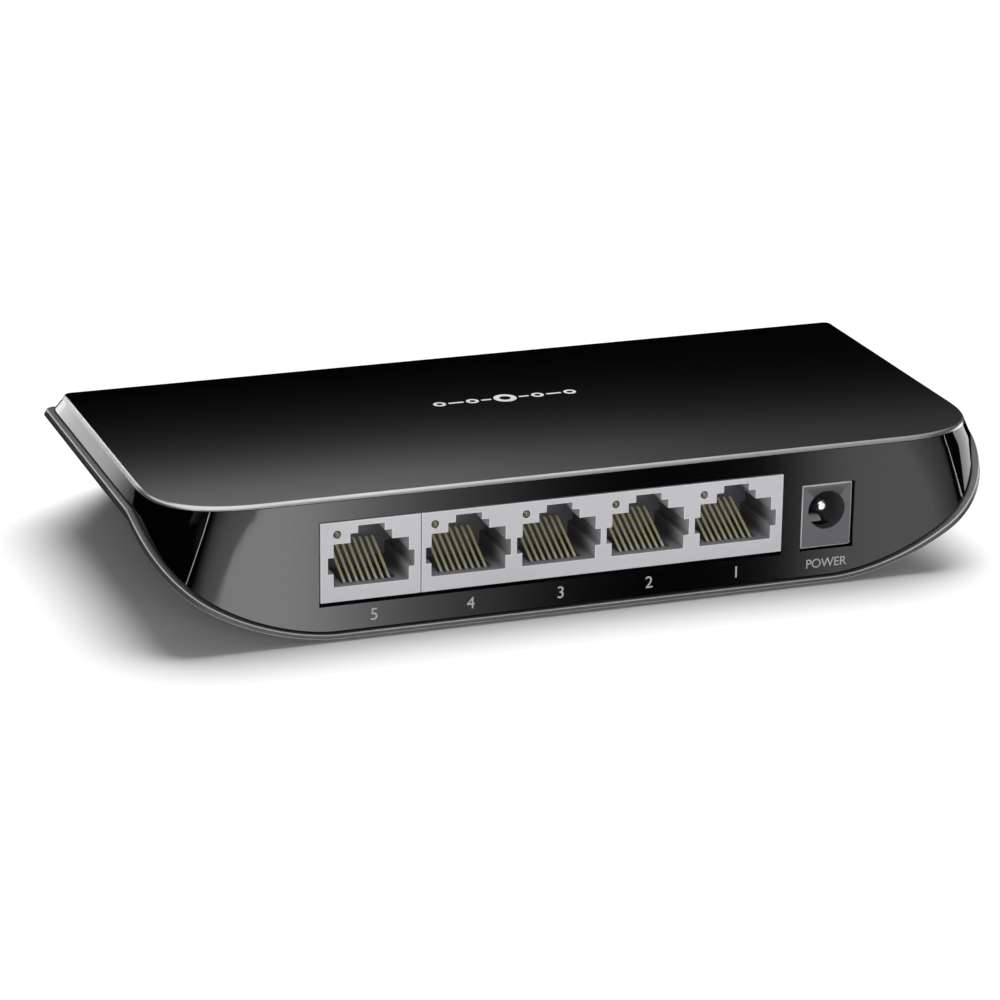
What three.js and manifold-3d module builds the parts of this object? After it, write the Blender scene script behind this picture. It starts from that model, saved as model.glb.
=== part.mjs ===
// Desktop network switch, five RJ45 ports and a barrel power inlet.
// Millimetres. +Z is up from the desk, -Y is the port side, +X is to the right seen from the
// port side. The origin is on the desk, under the middle of the body.
import * as THREE from 'three';
import * as BufferGeometryUtils from 'three/addons/utils/BufferGeometryUtils.js';
import Module from 'manifold-3d';

// ---- driving dimensions -----------------------------------------------------------------
const HEIGHT = 23;                    // desk to top plate
const REAR_Y = -43.2;                 // outer plane of the rear wall
const LIP_OUT = 0.8;                  // how far the base lip stands proud of the rear wall
const FRONT_LIP_OUT = 0.6;            // the same, square to the sloping front
const TOP_HALF = 67.7;                // half width of the flat top
const BEVEL_WIDTH = 0.4;
const BEVEL_HEIGHT = 0.64;
const RIM_HALF = 68.95;               // half width of the cover where it meets the base
const RIM_Z = 19.9;                   // height of that line along the sides
const RIM_BOTTOM_Z = 1.5;             // height of that line along the rear and front
const LIP_HALF = 70;
const LIP_TOP_Z = 19.6;
const LIP_SHOULDER_Z = 18.6;
const LIP_UNDER_Z = 17.9;
const BASE_BOTTOM_Z = 0.45;
const FLAT_HALF = 41;                 // half width of the level stretch of the rim
const HULL_POWER = 1.7;               // superellipse power of the rim's end-on outline
const FRONT_FLOOR_POWER = 1.4;        // along the sloping front: where it leaves the level stretch
const FRONT_SIDE_POWER = 1;           // and where it reaches the side, at a slant
const FRONT_FLAT_HALF = 44;
const FRONT_START_Y = 19;             // where the front outline takes over
const FRONT_TOP_Y = 18.7;             // where the flat top ends
const FRONT_RIM_Y = 41.97;            // where the sloping front meets the base
const REAR_CORNER_X = 17.5;           // soft rear corner of the top plate, along X and Y
const REAR_CORNER_Y = 15.5;
const REAR_CORNER_POWER = 2.7;
const LOW_CORNER = 6.5;               // rear corner radius at desk level
const FRONT_CORNER = 3;
const FAR_FRONT = 60;                 // a plane well clear of the front
const SHELL = 1.8;
const PANEL = 1.6;
const GAP = 0.3;                      // clearance between neighbouring pieces
const SEAM_TOP_X = 60.1;              // parting line between the cover and the rear panel
const SEAM_LEAN = 0.36;               // how far it spreads for each millimetre down

const BOARD_TOP_Z = 5.6;
const BOARD_THICKNESS = 1.6;
const BOARD_HALF = 46.4;
const BOARD_REAR_Y = -41.2;
const BOARD_FRONT_Y = 26;
const SEAT = 0.1;                     // solder gap under a component

const JACK_FACE_Y = REAR_Y - 0.3;
const JACK_DEPTH = 18;
const JACK_BOTTOM_Z = 6.3;
const JACK_TOP_Z = 19.05;
const PORT_1_X = 24.1;
const PORT_PITCH = 14.7;
const PORT_5_X = -35.55;
const QUAD_RIGHT_X = 32.05;
const QUAD_LEFT_X = -27.55;
const SINGLE_RIGHT_X = -27.7;
const SINGLE_LEFT_X = -43.6;
const PORT_DEPTH = 12.2;
const PORT_HALF = 5.97;
const PORT_FLOOR_Z = 8.66;
const PORT_CEILING_Z = 15.55;
const STEP_HALF = 3.3;
const STEP_TOP_Z = 17.03;
const NOTCH_HALF = 2.1;
const NOTCH_TOP_Z = 18.19;
const SIDE_NOTCH_HALF = 6.86;
const SIDE_NOTCH_TOP_Z = 13.41;
const SIDE_NOTCH_BOTTOM_Z = 10.81;
const LED_OFFSET_X = -5.4;
const LED_Z = 17.08;
const LED_RADIUS = 0.5;

const WIRE_PITCH = 1.02;
const WIRE_COUNT = 8;
const WIRE_WIDTH = 0.36;
const WIRE_THICKNESS = 0.26;
const WIRE_REACH = 9;                 // length of the sprung stretch, along Y
const WIRE_SLOPE = 25;                // degrees, at rest
const WIRE_HINGE_Y = JACK_FACE_Y + 2.3;
const WIRE_HINGE_Z = 8.2;

const INLET_X = 40;
const INLET_HOLE_Z = 12.1;
const INLET_WIDTH = 8.7;
const INLET_BOTTOM_Z = 5.9;
const INLET_TOP_Z = 16.5;
const INLET_FACE_Y = REAR_Y + 0.5;
const INLET_DEPTH = 14.2;
const INLET_BORE = 3.15;
const INLET_BORE_DEPTH = 9.5;
const INLET_PIN = 1;

const FOOT_RADIUS = 4.7;
const FOOT_X = 37;
const FOOT_REAR_Y = -33;
const FOOT_FRONT_Y = 31;
const FOOT_TOP_Z = 0.95;
const CASE_SCREW_X = 40;
const CASE_SCREW_Y = 6;
const BOARD_SCREWS = [[-42, 22], [42, 22], [-42, -9]];
const LIGHT_X = 0;
const LIGHT_Z = 12.5;
const LIGHT_RADIUS = 1.1;

const CURVE_STEPS = 9;
const CORNER_STEPS = 5;

const wasm = await Module();
wasm.setup();
const rad = THREE.MathUtils.degToRad;

// ---- solids and booleans ----------------------------------------------------------------
function solid(geometry) {
  const bare = geometry.clone();
  bare.deleteAttribute('normal');
  bare.deleteAttribute('uv');
  const merged = BufferGeometryUtils.mergeVertices(bare, 1e-4);
  return new wasm.Manifold(new wasm.Mesh({
    numProp: 3,
    vertProperties: Float32Array.from(merged.attributes.position.array),
    triVerts: Uint32Array.from(merged.index.array),
  }));
}

function geometryOf(manifold) {
  const mesh = manifold.getMesh();
  const geometry = new THREE.BufferGeometry();
  const positions = Float32Array.from(mesh.vertProperties);
  geometry.setAttribute('position', new THREE.BufferAttribute(positions, 3));
  geometry.setIndex(new THREE.BufferAttribute(Uint32Array.from(mesh.triVerts), 1));
  return geometry;
}

function union(solids) {
  return solids.reduce((a, b) => a.add(b));
}

function common(solids) {
  return solids.reduce((a, b) => a.intersect(b));
}

function cut(body, tools) {
  return tools.reduce((a, b) => a.subtract(b), body);
}

// the main body of a cut, without the hair-thin slivers that nearly flush faces leave
function mainBody(manifold) {
  return manifold.decompose().reduce((a, b) => (b.volume() > a.volume() ? b : a));
}

// a prism whose outline is [first, second] pairs in a plane given by its axes
function prism(outline, depth, xAxis, yAxis, zAxis, at) {
  const shape = new THREE.Shape(outline.map(([u, v]) => new THREE.Vector2(u, v)));
  const geometry = new THREE.ExtrudeGeometry(shape, { depth, bevelEnabled: false });
  const basis = new THREE.Matrix4().makeBasis(xAxis, yAxis, zAxis).setPosition(at);
  return solid(geometry.applyMatrix4(basis));
}

const X = new THREE.Vector3(1, 0, 0);
const Y = new THREE.Vector3(0, 1, 0);
const Z = new THREE.Vector3(0, 0, 1);

// outline in X and Z, run along Y
function alongY(outline, y0, y1) {
  return prism(outline, y1 - y0, X, Z, Y.clone().negate(), new THREE.Vector3(0, y1, 0));
}

// outline in Y and Z, run along X
function alongX(outline, x0, x1) {
  return prism(outline, x1 - x0, Y, Z, X, new THREE.Vector3(x0, 0, 0));
}

// outline in X and Y, run along Z
function alongZ(outline, z0, z1) {
  return prism(outline, z1 - z0, X, Y, Z, new THREE.Vector3(0, 0, z0));
}

function box(x0, x1, y0, y1, z0, z1) {
  const geometry = new THREE.BoxGeometry(x1 - x0, y1 - y0, z1 - z0);
  return solid(geometry.translate((x0 + x1) / 2, (y0 + y1) / 2, (z0 + z1) / 2));
}

function rodZ(x, y, z0, z1, radius, sides = 16) {
  const geometry = new THREE.CylinderGeometry(radius, radius, z1 - z0, sides).rotateX(Math.PI / 2);
  return solid(geometry.translate(x, y, (z0 + z1) / 2));
}

function rodY(x, z, y0, y1, radius, sides = 20) {
  const geometry = new THREE.CylinderGeometry(radius, radius, y1 - y0, sides);
  return solid(geometry.translate(x, (y0 + y1) / 2, z));
}

// a closed solid through rings of equal point count; flat() gives a ring's own plane
function loft(rings, flat) {
  const count = rings[0].length;
  const positions = rings.flat().flatMap((p) => [p.x, p.y, p.z]);
  const index = [];
  for (let r = 0; r < rings.length - 1; r += 1) {
    for (let i = 0; i < count; i += 1) {
      const a = r * count + i;
      const b = r * count + (i + 1) % count;
      index.push(a, b, b + count, a, b + count, a + count);
    }
  }
  const faces = THREE.ShapeUtils.triangulateShape(rings[0].map(flat), []);
  const last = (rings.length - 1) * count;
  for (const [a, b, c] of faces) {
    index.push(c, b, a, last + a, last + b, last + c);
  }
  const geometry = new THREE.BufferGeometry();
  geometry.setAttribute('position', new THREE.Float32BufferAttribute(positions, 3));
  geometry.setIndex(index);
  return solid(geometry);
}

// ---- outlines of the body ----------------------------------------------------------------
function mirrored(half) {
  const left = half.map(([x, z]) => [-x, z]).reverse();
  return [...half, ...left];
}

// right-hand half of the end-on outline, from the level bottom up to the shoulder
function hullCurve(half, shoulderZ, bottomZ, front = false) {
  const flat = front ? FRONT_FLAT_HALF : FLAT_HALF;
  const floorPower = front ? FRONT_FLOOR_POWER : HULL_POWER;
  const sidePower = front ? FRONT_SIDE_POWER : HULL_POWER;
  const points = [];
  for (let i = 0; i <= CURVE_STEPS; i += 1) {
    const angle = (Math.PI / 2) * (i / CURVE_STEPS);
    const out = Math.sin(angle) ** (2 / floorPower);
    const down = i === CURVE_STEPS ? 0 : Math.cos(angle) ** (2 / sidePower);
    points.push([flat + (half - flat) * out, shoulderZ - (shoulderZ - bottomZ) * down]);
  }
  return points;
}

function coverSection(grow, front = false) {
  return mirrored([
    ...hullCurve(RIM_HALF + grow, RIM_Z, RIM_BOTTOM_Z - grow, front),
    [TOP_HALF + BEVEL_WIDTH + grow, HEIGHT - BEVEL_HEIGHT + grow],
    [TOP_HALF + grow, HEIGHT + grow],
  ]);
}

function openSection(grow) {
  return mirrored([
    [RIM_HALF + grow, -5],
    [RIM_HALF + grow, RIM_Z],
    [TOP_HALF + BEVEL_WIDTH + grow, HEIGHT + grow],
  ]);
}

function lipSection(front = false) {
  return mirrored([...hullCurve(LIP_HALF, LIP_SHOULDER_Z, BASE_BOTTOM_Z, front), [LIP_HALF, LIP_TOP_Z]]);
}

// an end-on outline run along Y, with its front form beyond FRONT_START_Y
function lengthwise(outline) {
  const rear = alongY(outline(false), -60, FRONT_START_Y);
  return rear.add(alongY(outline(true), FRONT_START_Y, FAR_FRONT));
}

const FRONT_RUN = (FRONT_RIM_Y - FRONT_TOP_Y) / (HEIGHT - RIM_BOTTOM_Z);   // Y gained per mm down
const FRONT_ANGLE = Math.atan(1 / FRONT_RUN);                             // from level

function frontY(z, grow) {
  return FRONT_TOP_Y + FRONT_RUN * (HEIGHT - z) + grow / Math.sin(FRONT_ANGLE);
}

// rear wall, top and sloping front, seen from the side
function sideOutline(rear, front) {
  return [[rear, -3], [frontY(-3, front), -3], [frontY(HEIGHT + 2, front), HEIGHT + 2], [rear, HEIGHT + 2]];
}

// one quarter of a rounded corner; power 2 gives an ellipse
function cornerPoints(cx, cy, rx, ry, sx, sy, power) {
  const points = [];
  for (let i = 0; i <= CORNER_STEPS; i += 1) {
    const angle = (Math.PI / 2) * (i / CORNER_STEPS);
    const u = i === CORNER_STEPS ? 0 : Math.cos(angle) ** (2 / power);
    const v = i === 0 ? 0 : Math.sin(angle) ** (2 / power);
    points.push([cx + sx * rx * u, cy + sy * ry * v]);
  }
  return points;
}

function planOutline(half, rear, front, rx, ry, power) {
  const right = [
    ...cornerPoints(half - rx, rear + ry, rx, ry, 1, -1, power).reverse(),
    ...cornerPoints(half - FRONT_CORNER, front - FRONT_CORNER, FRONT_CORNER, FRONT_CORNER, 1, 1, 2),
  ];
  return mirrored(right);
}

// the plan outline, soft at the top plate and tighter towards the desk
function planLoft(grow, front, sideGrow = grow) {
  const spread = (RIM_HALF - TOP_HALF - BEVEL_WIDTH) / (HEIGHT - BEVEL_HEIGHT - RIM_Z);
  const ring = (z, t) => {
    const skirt = TOP_HALF + BEVEL_WIDTH + spread * (HEIGHT - BEVEL_HEIGHT - z);
    const half = Math.min(skirt, RIM_HALF) + sideGrow;
    const rx = THREE.MathUtils.lerp(REAR_CORNER_X, LOW_CORNER, t) + grow;
    const ry = THREE.MathUtils.lerp(REAR_CORNER_Y, LOW_CORNER, t) + grow;
    const power = THREE.MathUtils.lerp(REAR_CORNER_POWER, 2, t);
    const outline = planOutline(half, REAR_Y - grow, front, rx, ry, power);
    return outline.map(([x, y]) => new THREE.Vector3(x, y, z));
  };
  const top = ring(HEIGHT - BEVEL_HEIGHT, 0);
  const rings = [ring(-4, 1), ring(6, 0.9), ring(RIM_Z - 4, 0.45), ring(RIM_Z, 0.2), top];
  const shrink = 1 - BEVEL_WIDTH / (TOP_HALF + BEVEL_WIDTH);
  rings.push(top.map((p) => new THREE.Vector3(p.x * shrink, p.y * shrink, HEIGHT + 0.001)));
  rings.push(top.map((p) => new THREE.Vector3(p.x * shrink, p.y * shrink, HEIGHT + 3)));
  return loft(rings, (p) => new THREE.Vector2(p.x, p.y));
}

function envelope(section, grow) {
  return common([
    lengthwise((front) => section(grow, front)),
    planLoft(grow, FAR_FRONT),
    alongX(sideOutline(REAR_Y - grow, grow), -90, 90),
  ]);
}

// everything inside the cover's walls, and all that lies below its side skirts
function hollow(allowance) {
  const rear = -37 + allowance;
  const ceiling = RIM_Z - allowance;
  const front = -SHELL - allowance;
  const belowSkirts = alongX([
    [rear, -5], [frontY(-5, front), -5], [frontY(ceiling, front), ceiling], [rear, ceiling],
  ], -90, 90);
  return envelope(openSection, front).add(belowSkirts);
}

function panelZone(allowance) {
  const top = HEIGHT - BEVEL_HEIGHT - 0.16 + allowance;
  const low = -4;
  const half = (z) => SEAM_TOP_X + SEAM_LEAN * (HEIGHT - z) + allowance;
  const outline = [[-half(low), low], [half(low), low], [half(top), top], [-half(top), top]];
  return alongY(outline, REAR_Y - 5, REAR_Y + SHELL + 0.5);
}

// ---- casing ----------------------------------------------------------------------------
function topCover() {
  const posts = [-1, 1].map((side) => rodZ(side * CASE_SCREW_X, CASE_SCREW_Y, 3.8, HEIGHT - 1, 3));
  const pilots = [-1, 1].map((side) => rodZ(side * CASE_SCREW_X, CASE_SCREW_Y, 3, 12, 1.5, 12));
  const ribs = [-30, 0, 30].map((x) => box(x - 0.6, x + 0.6, -22, 17, HEIGHT - 3.4, HEIGHT - 1));
  const body = union([envelope(coverSection, 0).subtract(hollow(0)), ...posts, ...ribs]);
  return mainBody(cut(body, [panelZone(0.15), ...pilots, lightHole(LIGHT_RADIUS + GAP)]));
}

function lightFrame() {
  const outward = new THREE.Vector3(0, Math.sin(FRONT_ANGLE), Math.cos(FRONT_ANGLE));
  return { outward, seat: new THREE.Vector3(LIGHT_X, frontY(LIGHT_Z, 0), LIGHT_Z) };
}

function lightRod(radius, from, to, sides) {
  const { outward, seat } = lightFrame();
  const geometry = new THREE.CylinderGeometry(radius, radius, to - from, sides);
  geometry.translate(0, (from + to) / 2, 0);
  const turn = new THREE.Quaternion().setFromUnitVectors(Y, outward);
  return solid(geometry.applyQuaternion(turn).translate(seat.x, seat.y, seat.z));
}

function lightHole(radius) {
  return lightRod(radius, -SHELL - 2, 2, 16);
}

function lightPipe() {
  const collar = lightRod(LIGHT_RADIUS + 0.9, -SHELL - 1.3, -SHELL - GAP, 16);
  return lightRod(LIGHT_RADIUS, -7.2, -0.02, 16).add(collar);
}

function rearPanel() {
  const slab = box(-90, 90, REAR_Y - 5, REAR_Y + PANEL, -5, HEIGHT);
  const plate = common([envelope(coverSection, 0), panelZone(-0.15), slab]);
  const jackLeft = SINGLE_LEFT_X - GAP;
  const jackRight = QUAD_RIGHT_X + GAP;
  const jacks = box(jackLeft, jackRight, -60, -30, JACK_BOTTOM_Z - GAP, JACK_TOP_Z + GAP);
  const half = INLET_WIDTH / 2 + GAP;
  const inlet = box(INLET_X - half, INLET_X + half, -60, -30, INLET_BOTTOM_Z - GAP, INLET_TOP_Z + GAP);
  return cut(plate, [jacks, inlet]);
}

// end-on ring of the base pan; full = 1 follows the rim, 0 tucks in under it
function hullRing(y, full, inset) {
  const bottom = BASE_BOTTOM_Z + inset;
  const top = LIP_UNDER_Z + 0.4;
  const half = [];
  const rim = hullCurve(LIP_HALF - 0.5 - inset, top, bottom, y > 0);
  rim.forEach(([x, z], i) => {
    const t = i / CURVE_STEPS;
    const tuckX = 46 - inset + 23.3 * t;
    const tuckZ = bottom + (top - bottom) * t ** 1.15 + inset * 0.9 * Math.min(1, 3 * t) * (1 - t ** 8);
    half.push([THREE.MathUtils.lerp(tuckX, x, full), THREE.MathUtils.lerp(tuckZ, z, full)]);
  });
  const lid = inset > 0 ? HEIGHT + 2 : top + 0.2;
  half.push([LIP_HALF - 0.5 - 2.6 * inset, lid]);
  return mirrored(half).map(([x, z]) => new THREE.Vector3(x, y, z));
}

function hull(inset, rear) {
  const stations = [
    [50, 1], [40, 1], [32, 0.72], [24, 0.25], [16, 0],
    [-14, 0], [-22, 0.25], [-30, 0.72], [-38, 1], [rear, 1],
  ];
  return loft(stations.map(([y, full]) => hullRing(y, full, inset)), (p) => new THREE.Vector2(p.x, p.z));
}

function baseTray() {
  const lip = common([
    lengthwise(lipSection),
    planLoft(LIP_OUT, FAR_FRONT, LIP_HALF - RIM_HALF + 0.1),
    alongX(sideOutline(REAR_Y - LIP_OUT, FRONT_LIP_OUT), -90, 90),
  ]);
  const rearFrame = alongX([
    [-60, -5], [REAR_Y + 8, -5], [REAR_Y + 8, 6], [REAR_Y + 14, LIP_UNDER_Z], [REAR_Y + 14, 30], [-60, 30],
  ], -90, 90);
  const frontFrame = alongX([
    [frontY(-5, -2.4), -5], [frontY(-5, 5), -5], [frontY(30, 5), 30], [frontY(30, -2.4), 30],
  ], -90, 90);
  const sideFlange = box(-90, 90, -60, 60, LIP_UNDER_Z, 30);
  const pan = common([
    hull(0, REAR_Y - 2),
    planLoft(LIP_OUT - GAP, FAR_FRONT, LIP_HALF - RIM_HALF - GAP),
    alongX(sideOutline(REAR_Y - LIP_OUT + GAP, 0), -90, 90),
  ]);
  const tongues = union([-1, 1].map((s) => box(
    Math.min(s * 65, s * 66.8), Math.max(s * 65, s * 66.8), -28, 16, 17, 20.2)));
  const inside = common([hull(PANEL, REAR_Y + 1.7), alongX(sideOutline(REAR_Y + 1.7, -SHELL), -90, 90)]);
  const coverSeat = lengthwise((front) => coverSection(0.25, front)).subtract(hollow(0.25));
  const edges = lip.intersect(union([rearFrame, frontFrame, sideFlange])).add(pan);
  const tray = cut(edges, [inside, coverSeat]).add(tongues);

  const bossTop = BOARD_TOP_Z - BOARD_THICKNESS - SEAT;
  const boardBosses = BOARD_SCREWS.map(([x, y]) => rodZ(x, y, 1.6, bossTop, 2.6, 12));
  const boardPilots = BOARD_SCREWS.map(([x, y]) => rodZ(x, y, 1.1, 10, 1.5, 10));
  const caseBosses = [-1, 1].map((s) => rodZ(s * CASE_SCREW_X, CASE_SCREW_Y, 1.6, 3.4, 4.2));
  const caseHoles = [-1, 1].map((s) => rodZ(s * CASE_SCREW_X, CASE_SCREW_Y, -1, 10, 1.7, 12));
  const caseHeads = [-1, 1].map((s) => rodZ(s * CASE_SCREW_X, CASE_SCREW_Y, -1, 2.3, 2.9));
  const feet = footPlaces().map(([x, y]) => rodZ(x, y, -1, FOOT_TOP_Z + GAP, FOOT_RADIUS + GAP, 20));
  const label = box(-23, 23, 6, 27, -1, BASE_BOTTOM_Z + 0.5);
  return mainBody(cut(
    union([tray, ...boardBosses, ...caseBosses]),
    [...boardPilots, ...caseHoles, ...caseHeads, ...feet, label, ...vents(), ...keyholes()],
  ));
}

function vents() {
  const slots = [];
  for (let i = 0; i < 9; i += 1) {
    const x = (i - 4) * 4.6;
    slots.push(box(x - 0.9, x + 0.9, -27, -10, -1, 3));
  }
  return slots;
}

// wall-mounting keyholes: a round entry that narrows into a slot
function keyholes() {
  return [-33, 33].flatMap((x) => [rodZ(x, -10, -1, 3, 3.6), box(x - 1.9, x + 1.9, -10, -3, -1, 3)]);
}

function footPlaces() {
  return [[-FOOT_X, FOOT_REAR_Y], [FOOT_X, FOOT_REAR_Y], [-FOOT_X, FOOT_FRONT_Y], [FOOT_X, FOOT_FRONT_Y]];
}

function rubberFoot([x, y]) {
  return rodZ(x, y, 0, FOOT_TOP_Z, FOOT_RADIUS, 20);
}

function ratingLabel() {
  return box(-22.5, 22.5, 6.5, 26.5, BASE_BOTTOM_Z - 0.05, BASE_BOTTOM_Z + 0.2);
}

function caseScrew(side) {
  const head = rodZ(side * CASE_SCREW_X, CASE_SCREW_Y, 0.7, 2, 2.5);
  return head.add(rodZ(side * CASE_SCREW_X, CASE_SCREW_Y, 1.9, 10, 1.2, 12));
}

function boardScrew([x, y]) {
  const head = rodZ(x, y, BOARD_TOP_Z + SEAT, BOARD_TOP_Z + 1.7, 2.4);
  return head.add(rodZ(x, y, 1.4, BOARD_TOP_Z + 0.2, 1.2, 12));
}

// ---- circuit board and what is soldered to it ----------------------------------------------
function circuitBoard() {
  const bottom = BOARD_TOP_Z - BOARD_THICKNESS;
  const plate = box(-BOARD_HALF, BOARD_HALF, BOARD_REAR_Y, BOARD_FRONT_Y, bottom, BOARD_TOP_Z);
  const holes = BOARD_SCREWS.map(([x, y]) => rodZ(x, y, 0, 9, 1.6, 12));
  const posts = [-1, 1].map((s) => rodZ(s * CASE_SCREW_X, CASE_SCREW_Y, 0, 9, 3.5));
  return cut(plate, [...holes, ...posts]);
}

function chip(x, y, wide, deep, tall) {
  const z = BOARD_TOP_Z + SEAT;
  return box(x - wide / 2, x + wide / 2, y - deep / 2, y + deep / 2, z, z + tall);
}

const SWITCH = { x: 4, y: 1, size: 14, tall: 1.4 };

function heatSink() {
  const z = BOARD_TOP_Z + SEAT + SWITCH.tall + 0.7;
  const half = 11;
  const base = box(SWITCH.x - half, SWITCH.x + half, SWITCH.y - half, SWITCH.y + half, z, z + 1.6);
  const fins = [];
  for (let i = 0; i < 7; i += 1) {
    const x = SWITCH.x - half + 0.6 + i * (2 * half - 1.2) / 6;
    fins.push(box(x - 0.6, x + 0.6, SWITCH.y - half, SWITCH.y + half, z + 1, z + 8));
  }
  return union([base, ...fins]);
}

function canCapacitor(x, y, radius, tall) {
  const z = BOARD_TOP_Z + SEAT;
  const foot = box(x - radius, x + radius, y - radius, y + radius, z, z + 0.8);
  return foot.add(rodZ(x, y, z + 0.5, z + tall, radius - 0.1, 20));
}

// ---- connectors ------------------------------------------------------------------------
function portOutline(x) {
  const half = [
    [PORT_HALF, PORT_FLOOR_Z],
    [PORT_HALF, SIDE_NOTCH_BOTTOM_Z],
    [SIDE_NOTCH_HALF, SIDE_NOTCH_BOTTOM_Z],
    [SIDE_NOTCH_HALF, SIDE_NOTCH_TOP_Z],
    [PORT_HALF, SIDE_NOTCH_TOP_Z],
    [PORT_HALF, PORT_CEILING_Z],
    [STEP_HALF, PORT_CEILING_Z],
    [STEP_HALF, STEP_TOP_Z],
    [NOTCH_HALF, STEP_TOP_Z],
    [NOTCH_HALF, NOTCH_TOP_Z],
  ];
  return mirrored(half).map(([u, z]) => [x + u, z]);
}

function portCutters(x) {
  const back = JACK_FACE_Y + PORT_DEPTH;
  const trough = WIRE_COUNT * WIRE_PITCH / 2 + 0.3;
  return [
    alongY(portOutline(x), JACK_FACE_Y - 1, back),
    box(x - trough, x + trough, WIRE_HINGE_Y - 0.7, back, 7.3, PORT_FLOOR_Z + 0.5),
    rodY(x + LED_OFFSET_X, LED_Z, JACK_FACE_Y - 1, JACK_FACE_Y + 5, LED_RADIUS + 0.15, 10),
  ];
}

function jackHousing(left, right, centres) {
  const body = box(left, right, JACK_FACE_Y, JACK_FACE_Y + JACK_DEPTH, JACK_BOTTOM_Z, JACK_TOP_Z);
  const pads = [left + 1.2, right - 3.2].map((x) => box(
    x, x + 2, JACK_FACE_Y + 4, JACK_FACE_Y + JACK_DEPTH - 1, BOARD_TOP_Z + SEAT, JACK_BOTTOM_Z + 0.5));
  return cut(union([body, ...pads]), centres.flatMap(portCutters));
}

// eight sprung wires of one port, joined by the bar that they bend round at the front
function contactSet() {
  const pitch = Math.tan(rad(WIRE_SLOPE));
  const rise = WIRE_REACH * pitch;
  const thick = WIRE_THICKNESS / Math.cos(rad(WIRE_SLOPE));
  const outline = [
    [0, -0.13], [WIRE_REACH, rise - 0.13], [WIRE_REACH, rise - 0.13 + thick], [0, -0.13 + thick],
  ];
  const half = (WIRE_COUNT - 1) * WIRE_PITCH / 2;
  const bar = box(-half - 0.3, half + 0.3, -0.4, 0.4, -0.35, 0.35);
  const wires = [];
  for (let i = 0; i < WIRE_COUNT; i += 1) {
    const x = -half + i * WIRE_PITCH;
    wires.push(alongX(outline, x - WIRE_WIDTH / 2, x + WIRE_WIDTH / 2));
  }
  return union([bar, ...wires]);
}

function portLed() {
  const stem = rodY(0, 0, -0.15, 4, LED_RADIUS - 0.1, 10);
  return stem.add(box(-0.35, 0.35, 3.2, 4.4, -0.35, 0.35));
}

function inletBody() {
  const back = INLET_FACE_Y + INLET_DEPTH;
  const half = INLET_WIDTH / 2;
  const body = box(INLET_X - half, INLET_X + half, INLET_FACE_Y, back, INLET_BOTTOM_Z, INLET_TOP_Z);
  return cut(body, [
    rodY(INLET_X, INLET_HOLE_Z, INLET_FACE_Y - 1, INLET_FACE_Y + INLET_BORE_DEPTH, INLET_BORE, 24),
    rodY(INLET_X, INLET_HOLE_Z, INLET_FACE_Y, back + 1, INLET_PIN + GAP, 12),
    box(
      INLET_X - 1.6, INLET_X + 1.6, INLET_FACE_Y + 2, INLET_FACE_Y + 12, INLET_BOTTOM_Z - 1, INLET_HOLE_Z - 1,
    ),
  ]);
}

function inletPin() {
  const pinEnd = INLET_FACE_Y + INLET_DEPTH + 0.4;
  const pin = rodY(INLET_X, INLET_HOLE_Z, INLET_FACE_Y + 1.6, pinEnd, INLET_PIN, 12);
  const y = INLET_FACE_Y + INLET_DEPTH + GAP;
  return pin.add(box(INLET_X - 1.5, INLET_X + 1.5, y, y + 0.6, BOARD_TOP_Z + SEAT, INLET_HOLE_Z + 1.6));
}

const LEAF_HINGE_Y = INLET_FACE_Y + 11;
const LEAF_HINGE_Z = 7.4;

// the leaf that presses on the plug's sleeve, drawn about its own bend
function inletLeaf() {
  const outline = [
    [0.4, -0.15], [0.4, 0.2], [-5.6, 1.95], [-6.6, 1.6], [-6.6, 1.3], [-5.6, 1.6], [-0.2, -0.15],
  ];
  return alongX(outline, -1.2, 1.2);
}

// ---- assembly -------------------------------------------------------------------------
const finishes = {
  gloss: { color: 0x08080a, roughness: 0.08, metalness: 0 },
  base: { color: 0x4a4a4e, roughness: 0.35, metalness: 0.2 },
  jack: { color: 0xbfbec2, roughness: 0.5, metalness: 0 },
  gold: { color: 0xc9b46a, roughness: 0.25, metalness: 1 },
  board: { color: 0x14502c, roughness: 0.5, metalness: 0 },
  black: { color: 0x1a1a1c, roughness: 0.5, metalness: 0 },
  inlet: { color: 0x55555a, roughness: 0.45, metalness: 0 },
  steel: { color: 0xc8c8cc, roughness: 0.25, metalness: 1 },
  alloy: { color: 0x2b2b2d, roughness: 0.5, metalness: 0.8 },
  rubber: { color: 0x202020, roughness: 0.9, metalness: 0 },
  lens: { color: 0x8f9a72, roughness: 0.2, metalness: 0 },
  paper: { color: 0xb9b9bb, roughness: 0.6, metalness: 0 },
};

const network_switch = new THREE.Group();

function add(name, manifold, finish, place = [0, 0, 0]) {
  const mesh = new THREE.Mesh(geometryOf(manifold), new THREE.MeshStandardMaterial(finishes[finish]));
  mesh.name = name;
  mesh.position.set(...place);
  network_switch.add(mesh);
}

add('top_cover', topCover(), 'gloss');
add('rear_panel', rearPanel(), 'gloss');
add('base_tray', baseTray(), 'base');
footPlaces().forEach((place, i) => add(`rubber_foot_${i + 1}`, rubberFoot(place), 'rubber'));
[-1, 1].forEach((side, i) => add(`case_screw_${i + 1}`, caseScrew(side), 'steel'));
add('rating_label', ratingLabel(), 'paper');
add('light_pipe', lightPipe(), 'lens');

add('circuit_board', circuitBoard(), 'board');
BOARD_SCREWS.forEach((place, i) => add(`board_screw_${i + 1}`, boardScrew(place), 'steel'));

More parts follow.
